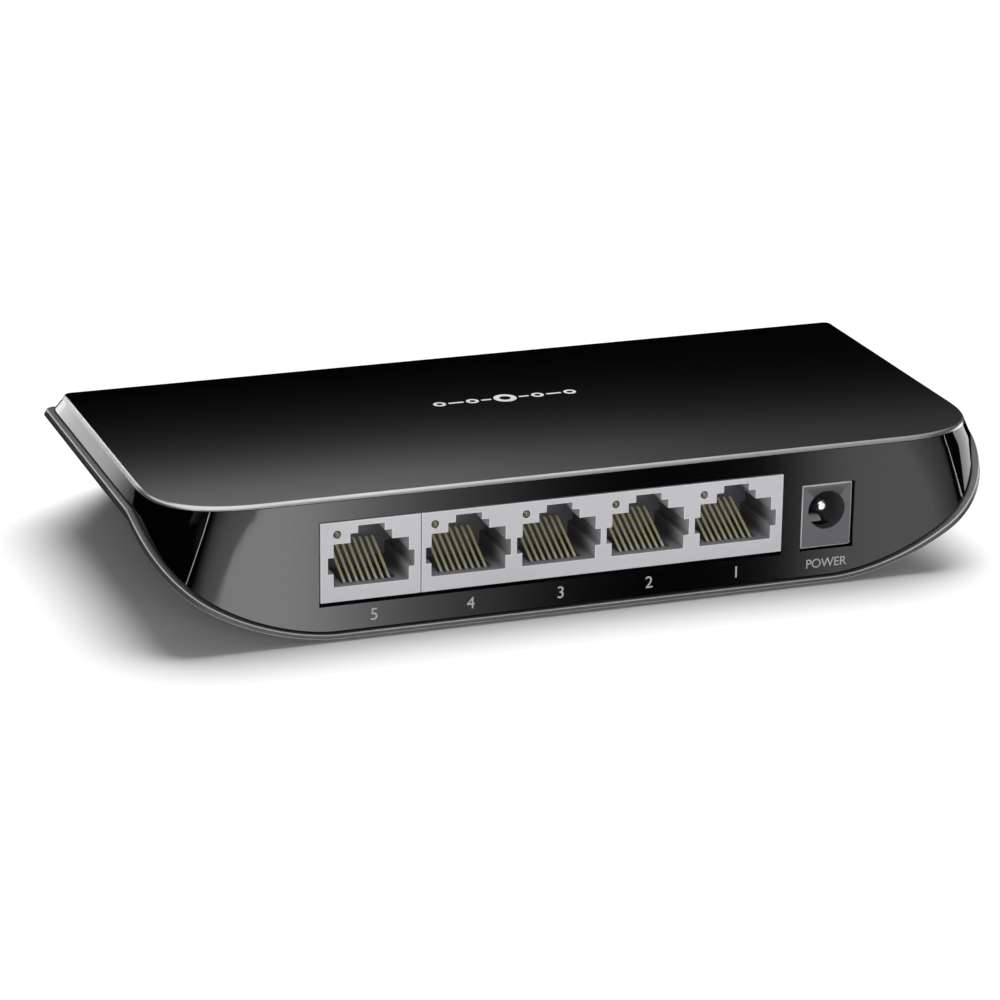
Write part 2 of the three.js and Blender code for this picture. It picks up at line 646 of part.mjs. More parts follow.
const portX = [0, 1, 2, 3].map((i) => PORT_1_X - i * PORT_PITCH).concat(PORT_5_X);
add('ethernet_jack_ports_1_to_4', jackHousing(QUAD_LEFT_X, QUAD_RIGHT_X, portX.slice(0, 4)), 'jack');
add('ethernet_jack_port_5', jackHousing(SINGLE_LEFT_X, SINGLE_RIGHT_X, [PORT_5_X]), 'jack');
portX.forEach((x, i) => {
  add(`contact_set_port_${i + 1}`, contactSet(), 'gold', [x, WIRE_HINGE_Y, WIRE_HINGE_Z]);
  add(`port_led_${i + 1}`, portLed(), 'lens', [x + LED_OFFSET_X, JACK_FACE_Y, LED_Z]);
  add(`line_transformer_${i + 1}`, chip(x, -18.5, 12.5, 8.5, 5.4), 'black');
});

add('power_inlet_body', inletBody(), 'inlet');
add('power_inlet_pin', inletPin(), 'steel');
add('power_inlet_leaf', inletLeaf(), 'steel', [INLET_X, LEAF_HINGE_Y, LEAF_HINGE_Z]);

add('switch_chip', chip(SWITCH.x, SWITCH.y, SWITCH.size, SWITCH.size, SWITCH.tall), 'black');
const padZ = BOARD_TOP_Z + SEAT + SWITCH.tall + SEAT;
add('thermal_pad', box(SWITCH.x - 6, SWITCH.x + 6, SWITCH.y - 6, SWITCH.y + 6, padZ, padZ + 0.5), 'paper');
add('heat_sink', heatSink(), 'alloy');
add('crystal', chip(-14, 0, 11, 4.6, 3.4), 'steel');
add('settings_memory_chip', chip(-26, 2, 5, 4, 1.6), 'black');
add('regulator_chip', chip(28, -6, 6.2, 6.5, 1.8), 'black');
add('power_inductor', chip(28, 8, 7.3, 7, 3.6), 'alloy');
add('input_fuse', chip(38, -23, 4.5, 3.2, 1.6), 'paper');
add('input_capacitor', canCapacitor(36, -13, 4, 9.5), 'steel');
add('output_capacitor', canCapacitor(28, 19, 3.2, 7.5), 'steel');
add('power_led', chip(LIGHT_X, 24.2, 2, 1.3, 0.8), 'lens');

export default network_switch;
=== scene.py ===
# Looks of the desktop network switch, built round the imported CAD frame.
# Shapes are worked out in millimetres in the frame's axes and written to the meshes in metres.
import math

import bmesh
import bpy
from mathutils import Matrix, Vector


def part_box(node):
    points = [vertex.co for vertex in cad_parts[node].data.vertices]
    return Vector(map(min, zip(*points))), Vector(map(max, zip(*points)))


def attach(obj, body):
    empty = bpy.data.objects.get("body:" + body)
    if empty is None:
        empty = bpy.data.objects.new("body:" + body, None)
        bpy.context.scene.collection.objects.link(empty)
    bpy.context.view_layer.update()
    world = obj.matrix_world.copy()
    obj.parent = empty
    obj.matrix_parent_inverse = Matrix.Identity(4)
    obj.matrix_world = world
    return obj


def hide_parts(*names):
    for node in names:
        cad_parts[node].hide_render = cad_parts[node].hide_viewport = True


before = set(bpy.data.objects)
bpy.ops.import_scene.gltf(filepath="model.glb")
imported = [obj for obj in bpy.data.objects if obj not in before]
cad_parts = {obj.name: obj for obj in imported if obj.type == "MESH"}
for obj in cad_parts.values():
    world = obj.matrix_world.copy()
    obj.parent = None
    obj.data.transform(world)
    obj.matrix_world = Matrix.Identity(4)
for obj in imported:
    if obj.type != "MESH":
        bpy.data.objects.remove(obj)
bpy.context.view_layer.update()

MM = 0.001
ROOT = "switch"


def node_box(node):
    """Lowest and highest corners of a node's box, in millimetres."""
    low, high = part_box(node)
    return low / MM, high / MM


cover_low, cover_high = node_box("top_cover")
tray_low, tray_high = node_box("base_tray")
quad_low, quad_high = node_box("ethernet_jack_ports_1_to_4")
single_low, _ = node_box("ethernet_jack_port_5")
inlet_low, inlet_high = node_box("power_inlet_body")

# ---- driving dimensions, in millimetres
HEIGHT = cover_high.z
REAR_Y = cover_low.y
BEVEL_WIDTH = 0.42                # the bright bevel round the top plate, seen from above
BEVEL_LOW_Z = HEIGHT - 0.64       # and its foot
BEVEL_MIX = (0.55, 0.45)          # how much of a flat chamfer and of a full round it has
TOP_HALF = 68.1                   # half width where the side meets the bevel
SIDE_SPREAD = 0.3455              # how far the side skirt spreads for each millimetre down
RIM_HALF = cover_high.x
RIM_Z = 19.9                      # lower edge of the cover along the sides
RIM_BOTTOM_Z = cover_low.z        # and along the rear and front
FLAT_HALF = 41.0                  # half width of the level stretch of that edge
HULL_POWERS = (1.7, 1.7)          # superellipse powers of that edge, low down and at the side
FRONT_POWERS = (1.4, 1.0)         # and along the front, which reaches the sides at a slant
FRONT_FLAT_HALF = 44.0
FRONT_CORNER = 1.5                # plan radius between the front and the sides
FRONT_TOP_Y = 18.7
FRONT_RIM_Y = cover_high.y
CORNER_TOP = (17.5, 15.5, 2.7)    # rear corner along X, along Y, and its superellipse power
CORNER_LOW = (6.5, 6.5, 2.0)      # and what it tends to further down
CORNER_DEPTH = 12.5               # depth over which it changes
CORNER_CROWDING = 1.3             # crowds the corner's columns towards the side
SEAM_TOP_X = 60.1                 # half width of the rear panel at the top plate
SEAM_LEAN = 0.36                  # how far its seams spread for each millimetre down
SEAM_GAP = 0.16
SEAM_EDGE = 0.1                   # the chamfer along the panel's two seams, painted light grey as a highlight
PANEL_TOP_Z = BEVEL_LOW_Z - 0.1
PANEL_CROWDING = 0.8              # crowds the panel's columns towards its ends
JACK_GAP = 0.14                   # between the panel's cut-outs and what stands in them
INLET_GAP = 0.2
COVER_WALL = 1.6
PANEL_WALL = 1.4
TRAY_WALL = 0.6
PIPE_RADIUS = 1.1                 # the power light on the sloping front
PIPE_HOLE_RADIUS = 1.3
LIP_HALF = tray_high.x
LIP_OUT = REAR_Y - tray_low.y     # how far the base's lip stands out behind the rear wall
FRONT_LIP_OUT = 0.6               # and before the sloping front
LIP_TOP_Z = 19.6                  # the lip's two edges along the sides
LIP_LOW_Z = 18.0
LIP_GAP = 0.25                    # between the cover's lower edge and the lip
LIP_ROUND = 0.16
BASE_BOTTOM_Z = tray_low.z
PAN_HALF = 46.0                   # half width of the pan's bottom between the rear and the front
PAN_RUN = 13.0                    # length over which it draws in
PAN_TURN = (FLAT_HALF - 4, FLAT_HALF + 8)    # half widths between which the drawing in sets in
PAN_SWELL = 0.87                  # power of the pan's end-on curve; 1 is straight
FRONT_RUN = (FRONT_RIM_Y - FRONT_TOP_Y) / (HEIGHT - RIM_BOTTOM_Z)
FRONT_ANGLE = math.atan(1 / FRONT_RUN)

# ---- how finely the shells are divided
BEVEL_ROWS = 7
WALL_ROWS = 14
FRONT_STEPS = 6
SIDE_STEPS = 16
CORNER_STEPS = 30
REAR_HALF_STEPS = 8
REAR_STEPS = 40
LEVEL_STEPS = 6
CURVE_STEPS = 36
PAN_STEPS = 40

def add_object(name, data):
    obj = bpy.data.objects.new(name, data)
    bpy.context.scene.collection.objects.link(obj)
    return obj


# ---- the camera, at the photograph's angle
CAMERA_PLACE = Vector((-0.2010, -0.5545, 0.2095))
CAMERA_TARGET = Vector((-0.01494, -0.0432, 0.019745))
CAMERA_ROLL = math.radians(0.731)
CAMERA_LENS = 136.4


def make_camera():
    data = bpy.data.cameras.new("camera")
    data.lens = CAMERA_LENS
    data.sensor_width = 36
    data.clip_start = 0.02
    data.clip_end = 20
    camera = add_object("camera", data)
    look = (CAMERA_TARGET - CAMERA_PLACE).to_track_quat("-Z", "Y")
    camera.matrix_world = Matrix.Translation(CAMERA_PLACE) @ look.to_matrix().to_4x4() \
        @ Matrix.Rotation(CAMERA_ROLL, 4, "Z")
    bpy.context.scene.camera = camera


# ---- materials
NOISE_SPAN = (0.3, 0.7)           # the part of a noise's range that is spread over the whole effect
PATCH_SCALE = 45                  # of the broad patches in which a surface's colour varies
SOCKET_PAINTED_SHADE_DEPTH = 7.0                # depth at which the painted shade inside a socket is darkest
SOCKET_PAINTED_SHADE_DARKEST = 0.22


def shader_of(name):
    """A new material with its nodes, links and shader."""
    material = bpy.data.materials.new(name)
    material.use_nodes = True
    nodes = material.node_tree.nodes
    return material, nodes, material.node_tree.links, nodes["Principled BSDF"]


def set_inputs(node, **values):
    """Sets a node's inputs by name, with _ for the spaces."""
    for name, value in values.items():
        node.inputs[name.replace("_", " ")].default_value = value


def object_noise(nodes, links, scale, detail=3.0):
    """Noise that stands still in the object's own coordinates."""
    place = nodes.new("ShaderNodeTexCoord")
    noise = nodes.new("ShaderNodeTexNoise")
    set_inputs(noise, Scale=scale, Detail=detail)
    links.new(place.outputs["Object"], noise.inputs["Vector"])
    return noise


def spread(nodes, links, source, low, high):
    """A noise's values spread between low and high."""
    span = nodes.new("ShaderNodeMapRange")
    set_inputs(span, From_Min=NOISE_SPAN[0], From_Max=NOISE_SPAN[1], To_Min=low, To_Max=high)
    links.new(source.outputs["Fac"], span.inputs["Value"])
    return span


def moulded(name, color, rough, grain, bump, vary=0.12, metallic=0.0, specular=0.5, coat=0.0):
    """A moulded or rolled surface: colour and gloss vary a little, with a fine grain in relief."""
    material, nodes, links, shader = shader_of(name)
    broad = object_noise(nodes, links, PATCH_SCALE)
    fine = object_noise(nodes, links, grain, 4)
    ramp = nodes.new("ShaderNodeValToRGB")
    for end, spot, factor in zip(ramp.color_ramp.elements, NOISE_SPAN, (1 - vary, 1 + vary)):
        end.position = spot
        end.color = (*[min(1, c * factor) for c in color], 1)
    links.new(broad.outputs["Fac"], ramp.inputs["Fac"])
    links.new(ramp.outputs["Color"], shader.inputs["Base Color"])
    gloss = spread(nodes, links, fine, rough * 0.85, rough * 1.15)
    links.new(gloss.outputs["Result"], shader.inputs["Roughness"])
    relief = nodes.new("ShaderNodeBump")
    set_inputs(relief, Strength=bump, Distance=0.05 * MM)
    links.new(fine.outputs["Fac"], relief.inputs["Height"])
    links.new(relief.outputs["Normal"], shader.inputs["Normal"])
    set_inputs(shader, Metallic=metallic, Specular_IOR_Level=specular, Coat_Weight=coat, Coat_Roughness=0.05)
    return material


def socket_plastic(name, color):
    """Pale socket plastic with painted shade: its colour goes dark with depth behind the face."""
    material = moulded(name, color, 0.42, 1500, 0.12, vary=0.04)
    nodes, links = material.node_tree.nodes, material.node_tree.links
    shader = nodes["Principled BSDF"]
    source = shader.inputs["Base Color"].links[0].from_socket
    place = nodes.new("ShaderNodeTexCoord")
    parts = nodes.new("ShaderNodeSeparateXYZ")
    # painted shade: the base colour is scaled down with depth into the socket
    depth = nodes.new("ShaderNodeMapRange")
    set_inputs(depth, From_Min=(quad_low.y + 0.2) * MM, From_Max=(quad_low.y + SOCKET_PAINTED_SHADE_DEPTH) * MM)
    set_inputs(depth, To_Min=1.0, To_Max=SOCKET_PAINTED_SHADE_DARKEST)
    depth.interpolation_type = "SMOOTHSTEP"
    shade = nodes.new("ShaderNodeVectorMath")
    shade.operation = "SCALE"
    links.new(place.outputs["Object"], parts.inputs["Vector"])
    links.new(parts.outputs["Y"], depth.inputs["Value"])
    links.new(source, shade.inputs[0])
    links.new(depth.outputs["Result"], shade.inputs["Scale"])
    links.new(shade.outputs["Vector"], shader.inputs["Base Color"])
    return material


def laminate(name, color):
    """Solder mask over a board, with lighter tracks in a brick pattern under it."""
    material, nodes, links, shader = shader_of(name)
    place = nodes.new("ShaderNodeTexCoord")
    tracks = nodes.new("ShaderNodeTexBrick")
    set_inputs(tracks, Scale=320, Mortar_Size=0.06, Color1=(*color, 1))
    set_inputs(tracks, Color2=(*[c * 0.8 for c in color], 1), Mortar=(*[min(1, c * 1.9) for c in color], 1))
    links.new(place.outputs["Object"], tracks.inputs["Vector"])
    links.new(tracks.outputs["Color"], shader.inputs["Base Color"])
    relief = nodes.new("ShaderNodeBump")
    set_inputs(relief, Strength=0.2, Distance=0.03 * MM)
    links.new(tracks.outputs["Fac"], relief.inputs["Height"])
    links.new(relief.outputs["Normal"], shader.inputs["Normal"])
    set_inputs(shader, Roughness=0.35)
    return material


def make_materials():
    return {
        "cover": moulded("cover_gloss_black", (0.0012, 0.0012, 0.0014), 0.045, 900, 0.01),
        # the bevel ring is a lighter grey metal than the black cover: a painted highlight along the rim
        "bevel": moulded("cover_bevel_painted_highlight", (0.3, 0.3, 0.31), 0.22, 900, 0.02, metallic=0.75),
        # light grey for the seam chamfers of the black panel: a painted highlight
        "edge": moulded("panel_edge_painted_highlight", (0.42, 0.42, 0.43), 0.3, 900, 0.02, specular=0.8),
        "panel": moulded("panel_gloss_black", (0.0015, 0.0015, 0.0017), 0.06, 900, 0.012),
        "base": moulded("base_satin_charcoal", (0.05, 0.05, 0.054), 0.34, 1500, 0.1),
        # lighter grey for the lip's rounded edges: a painted highlight
        "base_edge": moulded("base_edge_painted_highlight", (0.4, 0.4, 0.41), 0.28, 1500, 0.05),
        "rubber": moulded("foot_rubber", (0.022, 0.022, 0.023), 0.8, 2600, 0.5),
        "steel": moulded("zinc_steel", (0.6, 0.6, 0.62), 0.28, 1200, 0.08, metallic=1.0),
        "label": moulded("label_film", (0.56, 0.56, 0.58), 0.42, 1400, 0.05),
        "print": moulded("pale_print", (0.62, 0.62, 0.64), 0.45, 1600, 0.1),
        "digits": moulded("moulded_lettering", (0.42, 0.42, 0.44), 0.35, 1600, 0.1),
        "lens": moulded("clear_lens", (0.72, 0.76, 0.7), 0.12, 700, 0.02, coat=0.6),
        "led": moulded("olive_lens", (0.085, 0.1, 0.05), 0.18, 900, 0.05, coat=0.8),
        "board": laminate("board_green", (0.012, 0.09, 0.035)),
        # the sockets' plastic carries painted shade that darkens it with depth
        "jack": socket_plastic("jack_grey_painted_shade", (0.5, 0.495, 0.52)),
        # a lighter copy of the socket plastic for the rounded edges: a painted highlight
        "jack_edge": socket_plastic("jack_edge_painted_highlight", (0.76, 0.76, 0.78)),
        "gold": moulded("contact_gold", (0.8, 0.75, 0.44), 0.3, 2200, 0.08, metallic=0.2),
        # a paler gold for the wires' bends: a painted highlight
        "gold_painted_highlight": moulded("contact_gold_painted_highlight", (0.93, 0.91, 0.78), 0.2, 2200, 0.05,
                               metallic=0.1),
        "chip": moulded("chip_epoxy", (0.02, 0.02, 0.021), 0.55, 2600, 0.3),
        "inlet": moulded("inlet_grey", (0.095, 0.095, 0.102), 0.38, 1600, 0.12),
        # pale colour for the inlet's chamfered frame: a painted highlight
        "inlet_edge": moulded("inlet_edge_painted_highlight", (0.72, 0.72, 0.74), 0.3, 1600, 0.05),
        "spring": moulded("inlet_spring_nickel", (0.85, 0.85, 0.87), 0.2, 900, 0.03, metallic=0.3),
        "chrome": moulded("inlet_nickel", (0.82, 0.82, 0.84), 0.12, 900, 0.03, metallic=1.0),
        "pad": moulded("thermal_pad_grey", (0.36, 0.4, 0.46), 0.7, 1500, 0.2),
        "sink": moulded("black_anodised", (0.03, 0.03, 0.032), 0.4, 2400, 0.2, metallic=0.5),
        "can": moulded("drawn_aluminium", (0.66, 0.66, 0.68), 0.25, 1600, 0.06, metallic=1.0),
        "ferrite": moulded("sintered_ferrite", (0.05, 0.05, 0.052), 0.62, 2600, 0.35),
        "ceramic": moulded("glazed_ceramic", (0.7, 0.68, 0.6), 0.25, 900, 0.04),
    }


# ---- mesh helpers
def piece(name, verts, faces, material, slot, body=ROOT, smooth=True):
    """A new mesh object from points in millimetres."""
    mesh = bpy.data.meshes.new(name)
    mesh.from_pydata([Vector(v) * MM for v in verts], [], faces)
    mesh.materials.append(material)
    obj = add_object(name, mesh)
    if smooth:
        mesh.shade_smooth()
    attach(obj, body)
    return obj


def clean(obj, merge=0.0002):
    """Joins doubled points, drops what they leave behind and turns every face outward."""
    work = bmesh.new()
    work.from_mesh(obj.data)
    bmesh.ops.remove_doubles(work, verts=work.verts, dist=merge * MM)
    bmesh.ops.dissolve_degenerate(work, edges=work.edges, dist=merge * MM)
    bmesh.ops.recalc_face_normals(work, faces=work.faces)
    work.to_mesh(obj.data)
    work.free()
    return obj


def apply_modifiers(obj):
    """Writes what the modifiers make into the object's own mesh."""
    bpy.context.view_layer.objects.active = obj
    graph = bpy.context.evaluated_depsgraph_get()
    mesh = bpy.data.meshes.new_from_object(obj.evaluated_get(graph))
    obj.modifiers.clear()
    old = obj.data
    obj.data = mesh
    bpy.data.meshes.remove(old)
    return obj


def thicken(obj, wall):
    """Gives a skin a wall on its inner side."""
    shell = obj.modifiers.new("wall", "SOLIDIFY")
    shell.thickness = wall * MM
    shell.offset = -1
    shell.use_even_offset = True
    return apply_modifiers(obj)


def sharpen(obj, degrees=32):
    """Smooth shading inside a face, with creases where the surface turns."""
    obj.data.shade_smooth()
    obj.data.set_sharp_from_angle(angle=math.radians(degrees))
    return obj


def soften(obj, width, segments=3, degrees=32, edge_look=None):
    """Small rounds on the hard edges, so that they catch the light."""
    bevel = obj.modifiers.new("edges", "BEVEL")
    bevel.width = width * MM
    bevel.segments = segments
    bevel.limit_method = "ANGLE"
    bevel.angle_limit = math.radians(degrees)
    bevel.use_clamp_overlap = True
    bevel.harden_normals = True
    if edge_look:
        obj.data.materials.append(edge_look)
        bevel.material = len(obj.data.materials) - 1
    return obj


def cut(obj, cutters):
    """Takes the cutters' shapes out of an object, and removes the cutters."""
    for cutter in cutters:
        step = obj.modifiers.new("cut", "BOOLEAN")
        step.operation = "DIFFERENCE"
        step.solver = "EXACT"
        step.object = cutter
    apply_modifiers(obj)
    for cutter in cutters:
        bpy.data.objects.remove(cutter)
    return obj


def tool(verts, faces):
    """A cutter from points in millimetres."""
    mesh = bpy.data.meshes.new("tool")
    mesh.from_pydata([Vector(v) * MM for v in verts], [], faces)
    return clean(add_object("tool", mesh))


def prism(outline, low, high, axes):
    """Points and faces of an outline run from low to high; axes says which axis is which."""
    points = []
    for level in (low, high):
        for u, v in outline:
            spot = [0, 0, 0]
            spot[axes[0]], spot[axes[1]], spot[axes[2]] = u, v, level
            points.append(spot)
    n = len(outline)
    faces = [list(range(n)), list(range(n, 2 * n))[::-1]]
    for i in range(n):
        j = (i + 1) % n
        faces.append([i, i + n, j + n, j])
    return points, faces


def rectangle(x0, x1, y0, y1, radius=0.0, steps=6):
    """An outline with square corners, or round ones where a radius is given."""
    if radius <= 0:
        return [(x0, y0), (x1, y0), (x1, y1), (x0, y1)]
    points = []
    corners = [(x1 - radius, y0 + radius, -90), (x1 - radius, y1 - radius, 0),
               (x0 + radius, y1 - radius, 90), (x0 + radius, y0 + radius, 180)]
    for cx, cy, start in corners:
        for i in range(steps + 1):
            angle = math.radians(start + 90 * i / steps)
            points.append((cx + radius * math.cos(angle), cy + radius * math.sin(angle)))
    return points


def circle(cx, cy, radius, steps=48):
    angles = [2 * math.pi * i / steps for i in range(steps)]
    return [(cx + radius * math.cos(a), cy + radius * math.sin(a)) for a in angles]


def turned(profile, steps=48):
    """A surface of revolution about Z from (radius, height) pairs; it closes where the radius is 0."""
    points, faces, rows = [], [], []
    for radius, height in profile:
        count = 1 if radius == 0 else steps
        rows.append((len(points), count))
        for i in range(count):
            angle = 2 * math.pi * i / steps
            points.append((radius * math.cos(angle), radius * math.sin(angle), height))
    for (a, na), (b, nb) in zip(rows, rows[1:]):
        for i in range(steps):
            j = (i + 1) % steps
            if na == 1:
                faces.append([a, b + j, b + i])
            elif nb == 1:
                faces.append([a + i, a + j, b])
            else:
                faces.append([a + i, a + j, b + j, b + i])
    return points, faces


def placed(points, place, turn=None):
    """Points turned about the origin and then moved."""
    turn = turn or Matrix.Identity(3)
    return [turn @ Vector(p) + Vector(place) for p in points]


def grid_faces(rows, columns, start=0):
    """Four-sided faces over a grid of points that are numbered row by row from start."""
    faces = []
    for r in range(rows - 1):
        for c in range(columns - 1):
            a = start + r * columns + c
            faces.append([a, a + 1, a + columns + 1, a + columns])
    return faces


# ---- outlines of the body
def corner_of(z):
    """Rear corner along X and Y and its power, and the half width, at a height."""
    drop = max(0.0, BEVEL_LOW_Z - z)
    t = math.tanh(drop / CORNER_DEPTH)
    rx, ry, power = (a + (b - a) * t for a, b in zip(CORNER_TOP, CORNER_LOW))
    half = min(TOP_HALF + SIDE_SPREAD * drop, RIM_HALF)
    return rx, ry, power, half


def plan_corner(a, z, sign=1):
    """A point of the corner; a runs from 0 at the side to 1 at the rear wall."""
    rx, ry, power, half = corner_of(z)
    angle = math.pi / 2 * a
    u = max(0.0, math.cos(angle)) ** (2 / power)
    v = math.sin(angle) ** (2 / power)
    return Vector((sign * (half - rx + rx * u), REAR_Y + ry - ry * v, z))


def rear_y(x, z, grow=0.0, half=None):
    """Y of the rear wall and its soft corners at a place on the end-on view."""
    rx, ry, power, own_half = corner_of(z)
    half = own_half if half is None else half
    u = (abs(x) - (half - rx - grow)) / (rx + grow)
    if u <= 0:
        return REAR_Y - grow
    return REAR_Y + ry - (ry + grow) * max(0.0, 1 - min(u, 1.0) ** power) ** (1 / power)


def front_y(z, grow=0.0):
    """Y of the sloping front at a height, grown outward square to the slope."""
    return FRONT_TOP_Y + FRONT_RUN * (HEIGHT - z) + grow / math.sin(FRONT_ANGLE)


def hull_point(angle, half, side_z, bottom_z, front=False):
    """The end-on outline: angle 0 is the end of its level stretch, pi/2 its widest place."""
    low_power, side_power = FRONT_POWERS if front else HULL_POWERS
    flat = FRONT_FLAT_HALF if front else FLAT_HALF
    out = math.sin(angle) ** (2 / low_power)
    down = max(0.0, math.cos(angle)) ** (2 / side_power)
    return flat + (half - flat) * out, side_z - (side_z - bottom_z) * down


def rim_z(x):
    """Height of the cover's lower edge at a distance from the middle."""
    out = (abs(x) - FLAT_HALF) / (RIM_HALF - FLAT_HALF)
    if out <= 0:
        return RIM_BOTTOM_Z
    low_power, side_power = HULL_POWERS
    sine = min(1.0, out) ** (low_power / 2)
    return RIM_Z - (RIM_Z - RIM_BOTTOM_Z) * math.sqrt(max(0.0, 1 - sine * sine)) ** (2 / side_power)


def seam_x(z):
    """Half width of the rear panel at a height, to the middle of its seam."""
    return SEAM_TOP_X + SEAM_LEAN * (HEIGHT - z)


def seam_corner(z):
    """The corner place, 0 to 1, of the parting line at a height."""
    rx, _, power, half = corner_of(z)
    u = (seam_x(z) + SEAM_GAP - half + rx) / rx
    if u <= 0:
        return 1.0
    return math.acos(min(1.0, u) ** (power / 2)) / (math.pi / 2)


def settle(rule, low, high):
    """The height at which rule changes sign, by halving."""
    for _ in range(40):
        middle = (low + high) / 2
        if rule(middle) > 0:
            high = middle
        else:
            low = middle
    return (low + high) / 2


def cheek_rim(w):
    """Lower end of a column of the cover's corner; w is 0 at the side, 1 at the seam."""
    return settle(lambda z: z - rim_z(plan_corner(w * seam_corner(z), z).x), RIM_BOTTOM_Z, RIM_Z)


# ---- top cover
def top_outline():
    """Right half of the outline at the foot of the bevel, from the front to the middle of the rear."""
    rx, ry, _, half = corner_of(BEVEL_LOW_Z)
    front = front_y(BEVEL_LOW_Z) - FRONT_CORNER
    corner_start = REAR_Y + ry
    points = [front_corner(i, BEVEL_LOW_Z) for i in range(FRONT_STEPS)]
    for i in range(SIDE_STEPS):
        points.append(Vector((half, front + (corner_start - front) * i / SIDE_STEPS, BEVEL_LOW_Z)))
    seam = seam_corner(BEVEL_LOW_Z)
    for i in range(CORNER_STEPS + 1):
        points.append(plan_corner(seam * (i / CORNER_STEPS) ** CORNER_CROWDING, BEVEL_LOW_Z))
    rest = CORNER_STEPS // 2
    for i in range(1, rest + 1):
        points.append(plan_corner(seam + (1 - seam) * i / rest, BEVEL_LOW_Z))
    for i in range(1, REAR_HALF_STEPS + 1):
        points.append(Vector(((half - rx) * (1 - i / REAR_HALF_STEPS), REAR_Y, BEVEL_LOW_Z)))
    return points


def front_corner(step, z, sign=1):
    """A point of the small round between the sloping front, at step 0, and the side."""
    angle = math.pi / 2 * (1 - step / FRONT_STEPS)
    _, _, _, half = corner_of(z)
    x = half - FRONT_CORNER * (1 - math.cos(angle))
    return Vector((sign * x, front_y(z) - FRONT_CORNER * (1 - math.sin(angle)), z))


def inward(points):
    """Level unit normals that point to the middle of the plate, one for each outline point."""
    normals = []
    for i, p in enumerate(points):
        before = points[max(0, i - 1)]
        after = points[min(len(points) - 1, i + 1)]
        along = after - before
        normal = Vector((along.y, -along.x, 0)).normalized()
        normals.append(normal if normal.dot(Vector((p.x, p.y, 0))) < 0 else -normal)
    normals[0] = Vector((0, -1, 0))
    normals[-1] = Vector((0, 1, 0))
    return normals


def bevel_point(p, normal, row):
    """Row 0 is the foot of the bevel; the last row lies in the top plate."""
    t = row / (BEVEL_ROWS - 1)
    chamfer, full_round = BEVEL_MIX
    flat_in, flat_up = BEVEL_WIDTH * t, (HEIGHT - BEVEL_LOW_Z) * t
    round_in = BEVEL_WIDTH * (1 - math.cos(math.pi / 2 * t))
    round_up = (HEIGHT - BEVEL_LOW_Z) * math.sin(math.pi / 2 * t)
    step = normal * (chamfer * flat_in + full_round * round_in)
    return Vector((p.x + step.x, p.y + step.y, BEVEL_LOW_Z + chamfer * flat_up + full_round * round_up))


def mirrored(points):
    """The same points on the left, in the opposite order."""
    return [Vector((-p.x, p.y, p.z)) for p in points[::-1]]


def front_rim():
    """Right half of the sloping front's lower edge, from the side to the end of its level stretch."""
    rim = []
    for i in range(1, CURVE_STEPS + 1):
        angle = math.pi / 2 * (1 - i / CURVE_STEPS)
        x, z = hull_point(angle, RIM_HALF - FRONT_CORNER, RIM_Z, RIM_BOTTOM_Z, True)
        rim.append(Vector((x, front_y(z), z)))
    return rim


def cover_skin():
    """Points and faces of the cover's outside; bevel faces come first and are counted."""
    right = top_outline()
    right_normals = inward(right)
    outline = right + mirrored(right[:-1])
    normals = right_normals + mirrored(right_normals[:-1])
    count = len(outline)
    verts = [bevel_point(p, n, row) for row in range(BEVEL_ROWS) for p, n in zip(outline, normals)]
    faces = grid_faces(BEVEL_ROWS, count)
    bevel_count = len(faces)
    top = [(BEVEL_ROWS - 1) * count + c for c in range(count)]
    faces.append(top)

    wall_columns = FRONT_STEPS + SIDE_STEPS + CORNER_STEPS + 1
    slope = []
    for sign in (1, -1):
        start = len(verts)
        for row in range(WALL_ROWS):
            t = row / (WALL_ROWS - 1)
            for c in range(wall_columns):
                verts.append(wall_point(c, t, sign))
        faces += grid_faces(WALL_ROWS, wall_columns, start)
        slope.append([start + row * wall_columns for row in range(WALL_ROWS)])
    base = len(verts)
    rim = front_rim()
    verts += rim + mirrored(rim)
    lower = list(range(base, len(verts)))
    faces.append([top[0]] + slope[0] + lower + slope[1][::-1] + [top[-1]])
    return verts, faces, bevel_count


def wall_point(column, t, sign):
    """A point of the side skirt; t runs down it, and the columns from the front to the seam."""
    z = BEVEL_LOW_Z + (RIM_Z - BEVEL_LOW_Z) * t
    if column < FRONT_STEPS:
        return front_corner(column, z, sign)
    column -= FRONT_STEPS
    if column < SIDE_STEPS:
        _, ry, _, half = corner_of(z)
        front = front_y(z) - FRONT_CORNER
        return Vector((sign * half, front + (REAR_Y + ry - front) * column / SIDE_STEPS, z))
    w = ((column - SIDE_STEPS) / CORNER_STEPS) ** CORNER_CROWDING
    z = BEVEL_LOW_Z + (cheek_rim(w) - BEVEL_LOW_Z) * t
    return plan_corner(w * seam_corner(z), z, sign)


def front_frame():
    """The power light's place on the sloping front, and the turn that stands Z square to it."""
    low, high = node_box("light_pipe")
    x = (low.x + high.x) / 2
    outward = Vector((0, math.sin(FRONT_ANGLE), math.cos(FRONT_ANGLE)))
    z = high.z - PIPE_RADIUS * math.sin(FRONT_ANGLE)
    turn = outward.to_track_quat("Z", "X").to_matrix()
    return Vector((x, front_y(z), z)), turn


def make_cover(looks):
    verts, faces, bevel_count = cover_skin()
    obj = piece("cover_shell", verts, faces, looks["cover"], "cover_gloss")
    # the bevel faces take the lighter material, a painted highlight
    obj.data.materials.append(looks["bevel"])
    for face in obj.data.polygons[:bevel_count]:
        face.material_index = 1
    clean(obj, 0.01)
    thicken(obj, COVER_WALL)
    seat, turn = front_frame()
    points, hole = prism(circle(0, 0, PIPE_HOLE_RADIUS), -4, 4, (0, 1, 2))
    cut(obj, [tool(placed(points, seat, turn), hole)])
    sharpen(obj, 30)
    soften(obj, 0.12, 3, 30)
    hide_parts("top_cover")
    return obj


# ---- rear panel
PANEL_COLUMNS = 2 * REAR_STEPS + 3


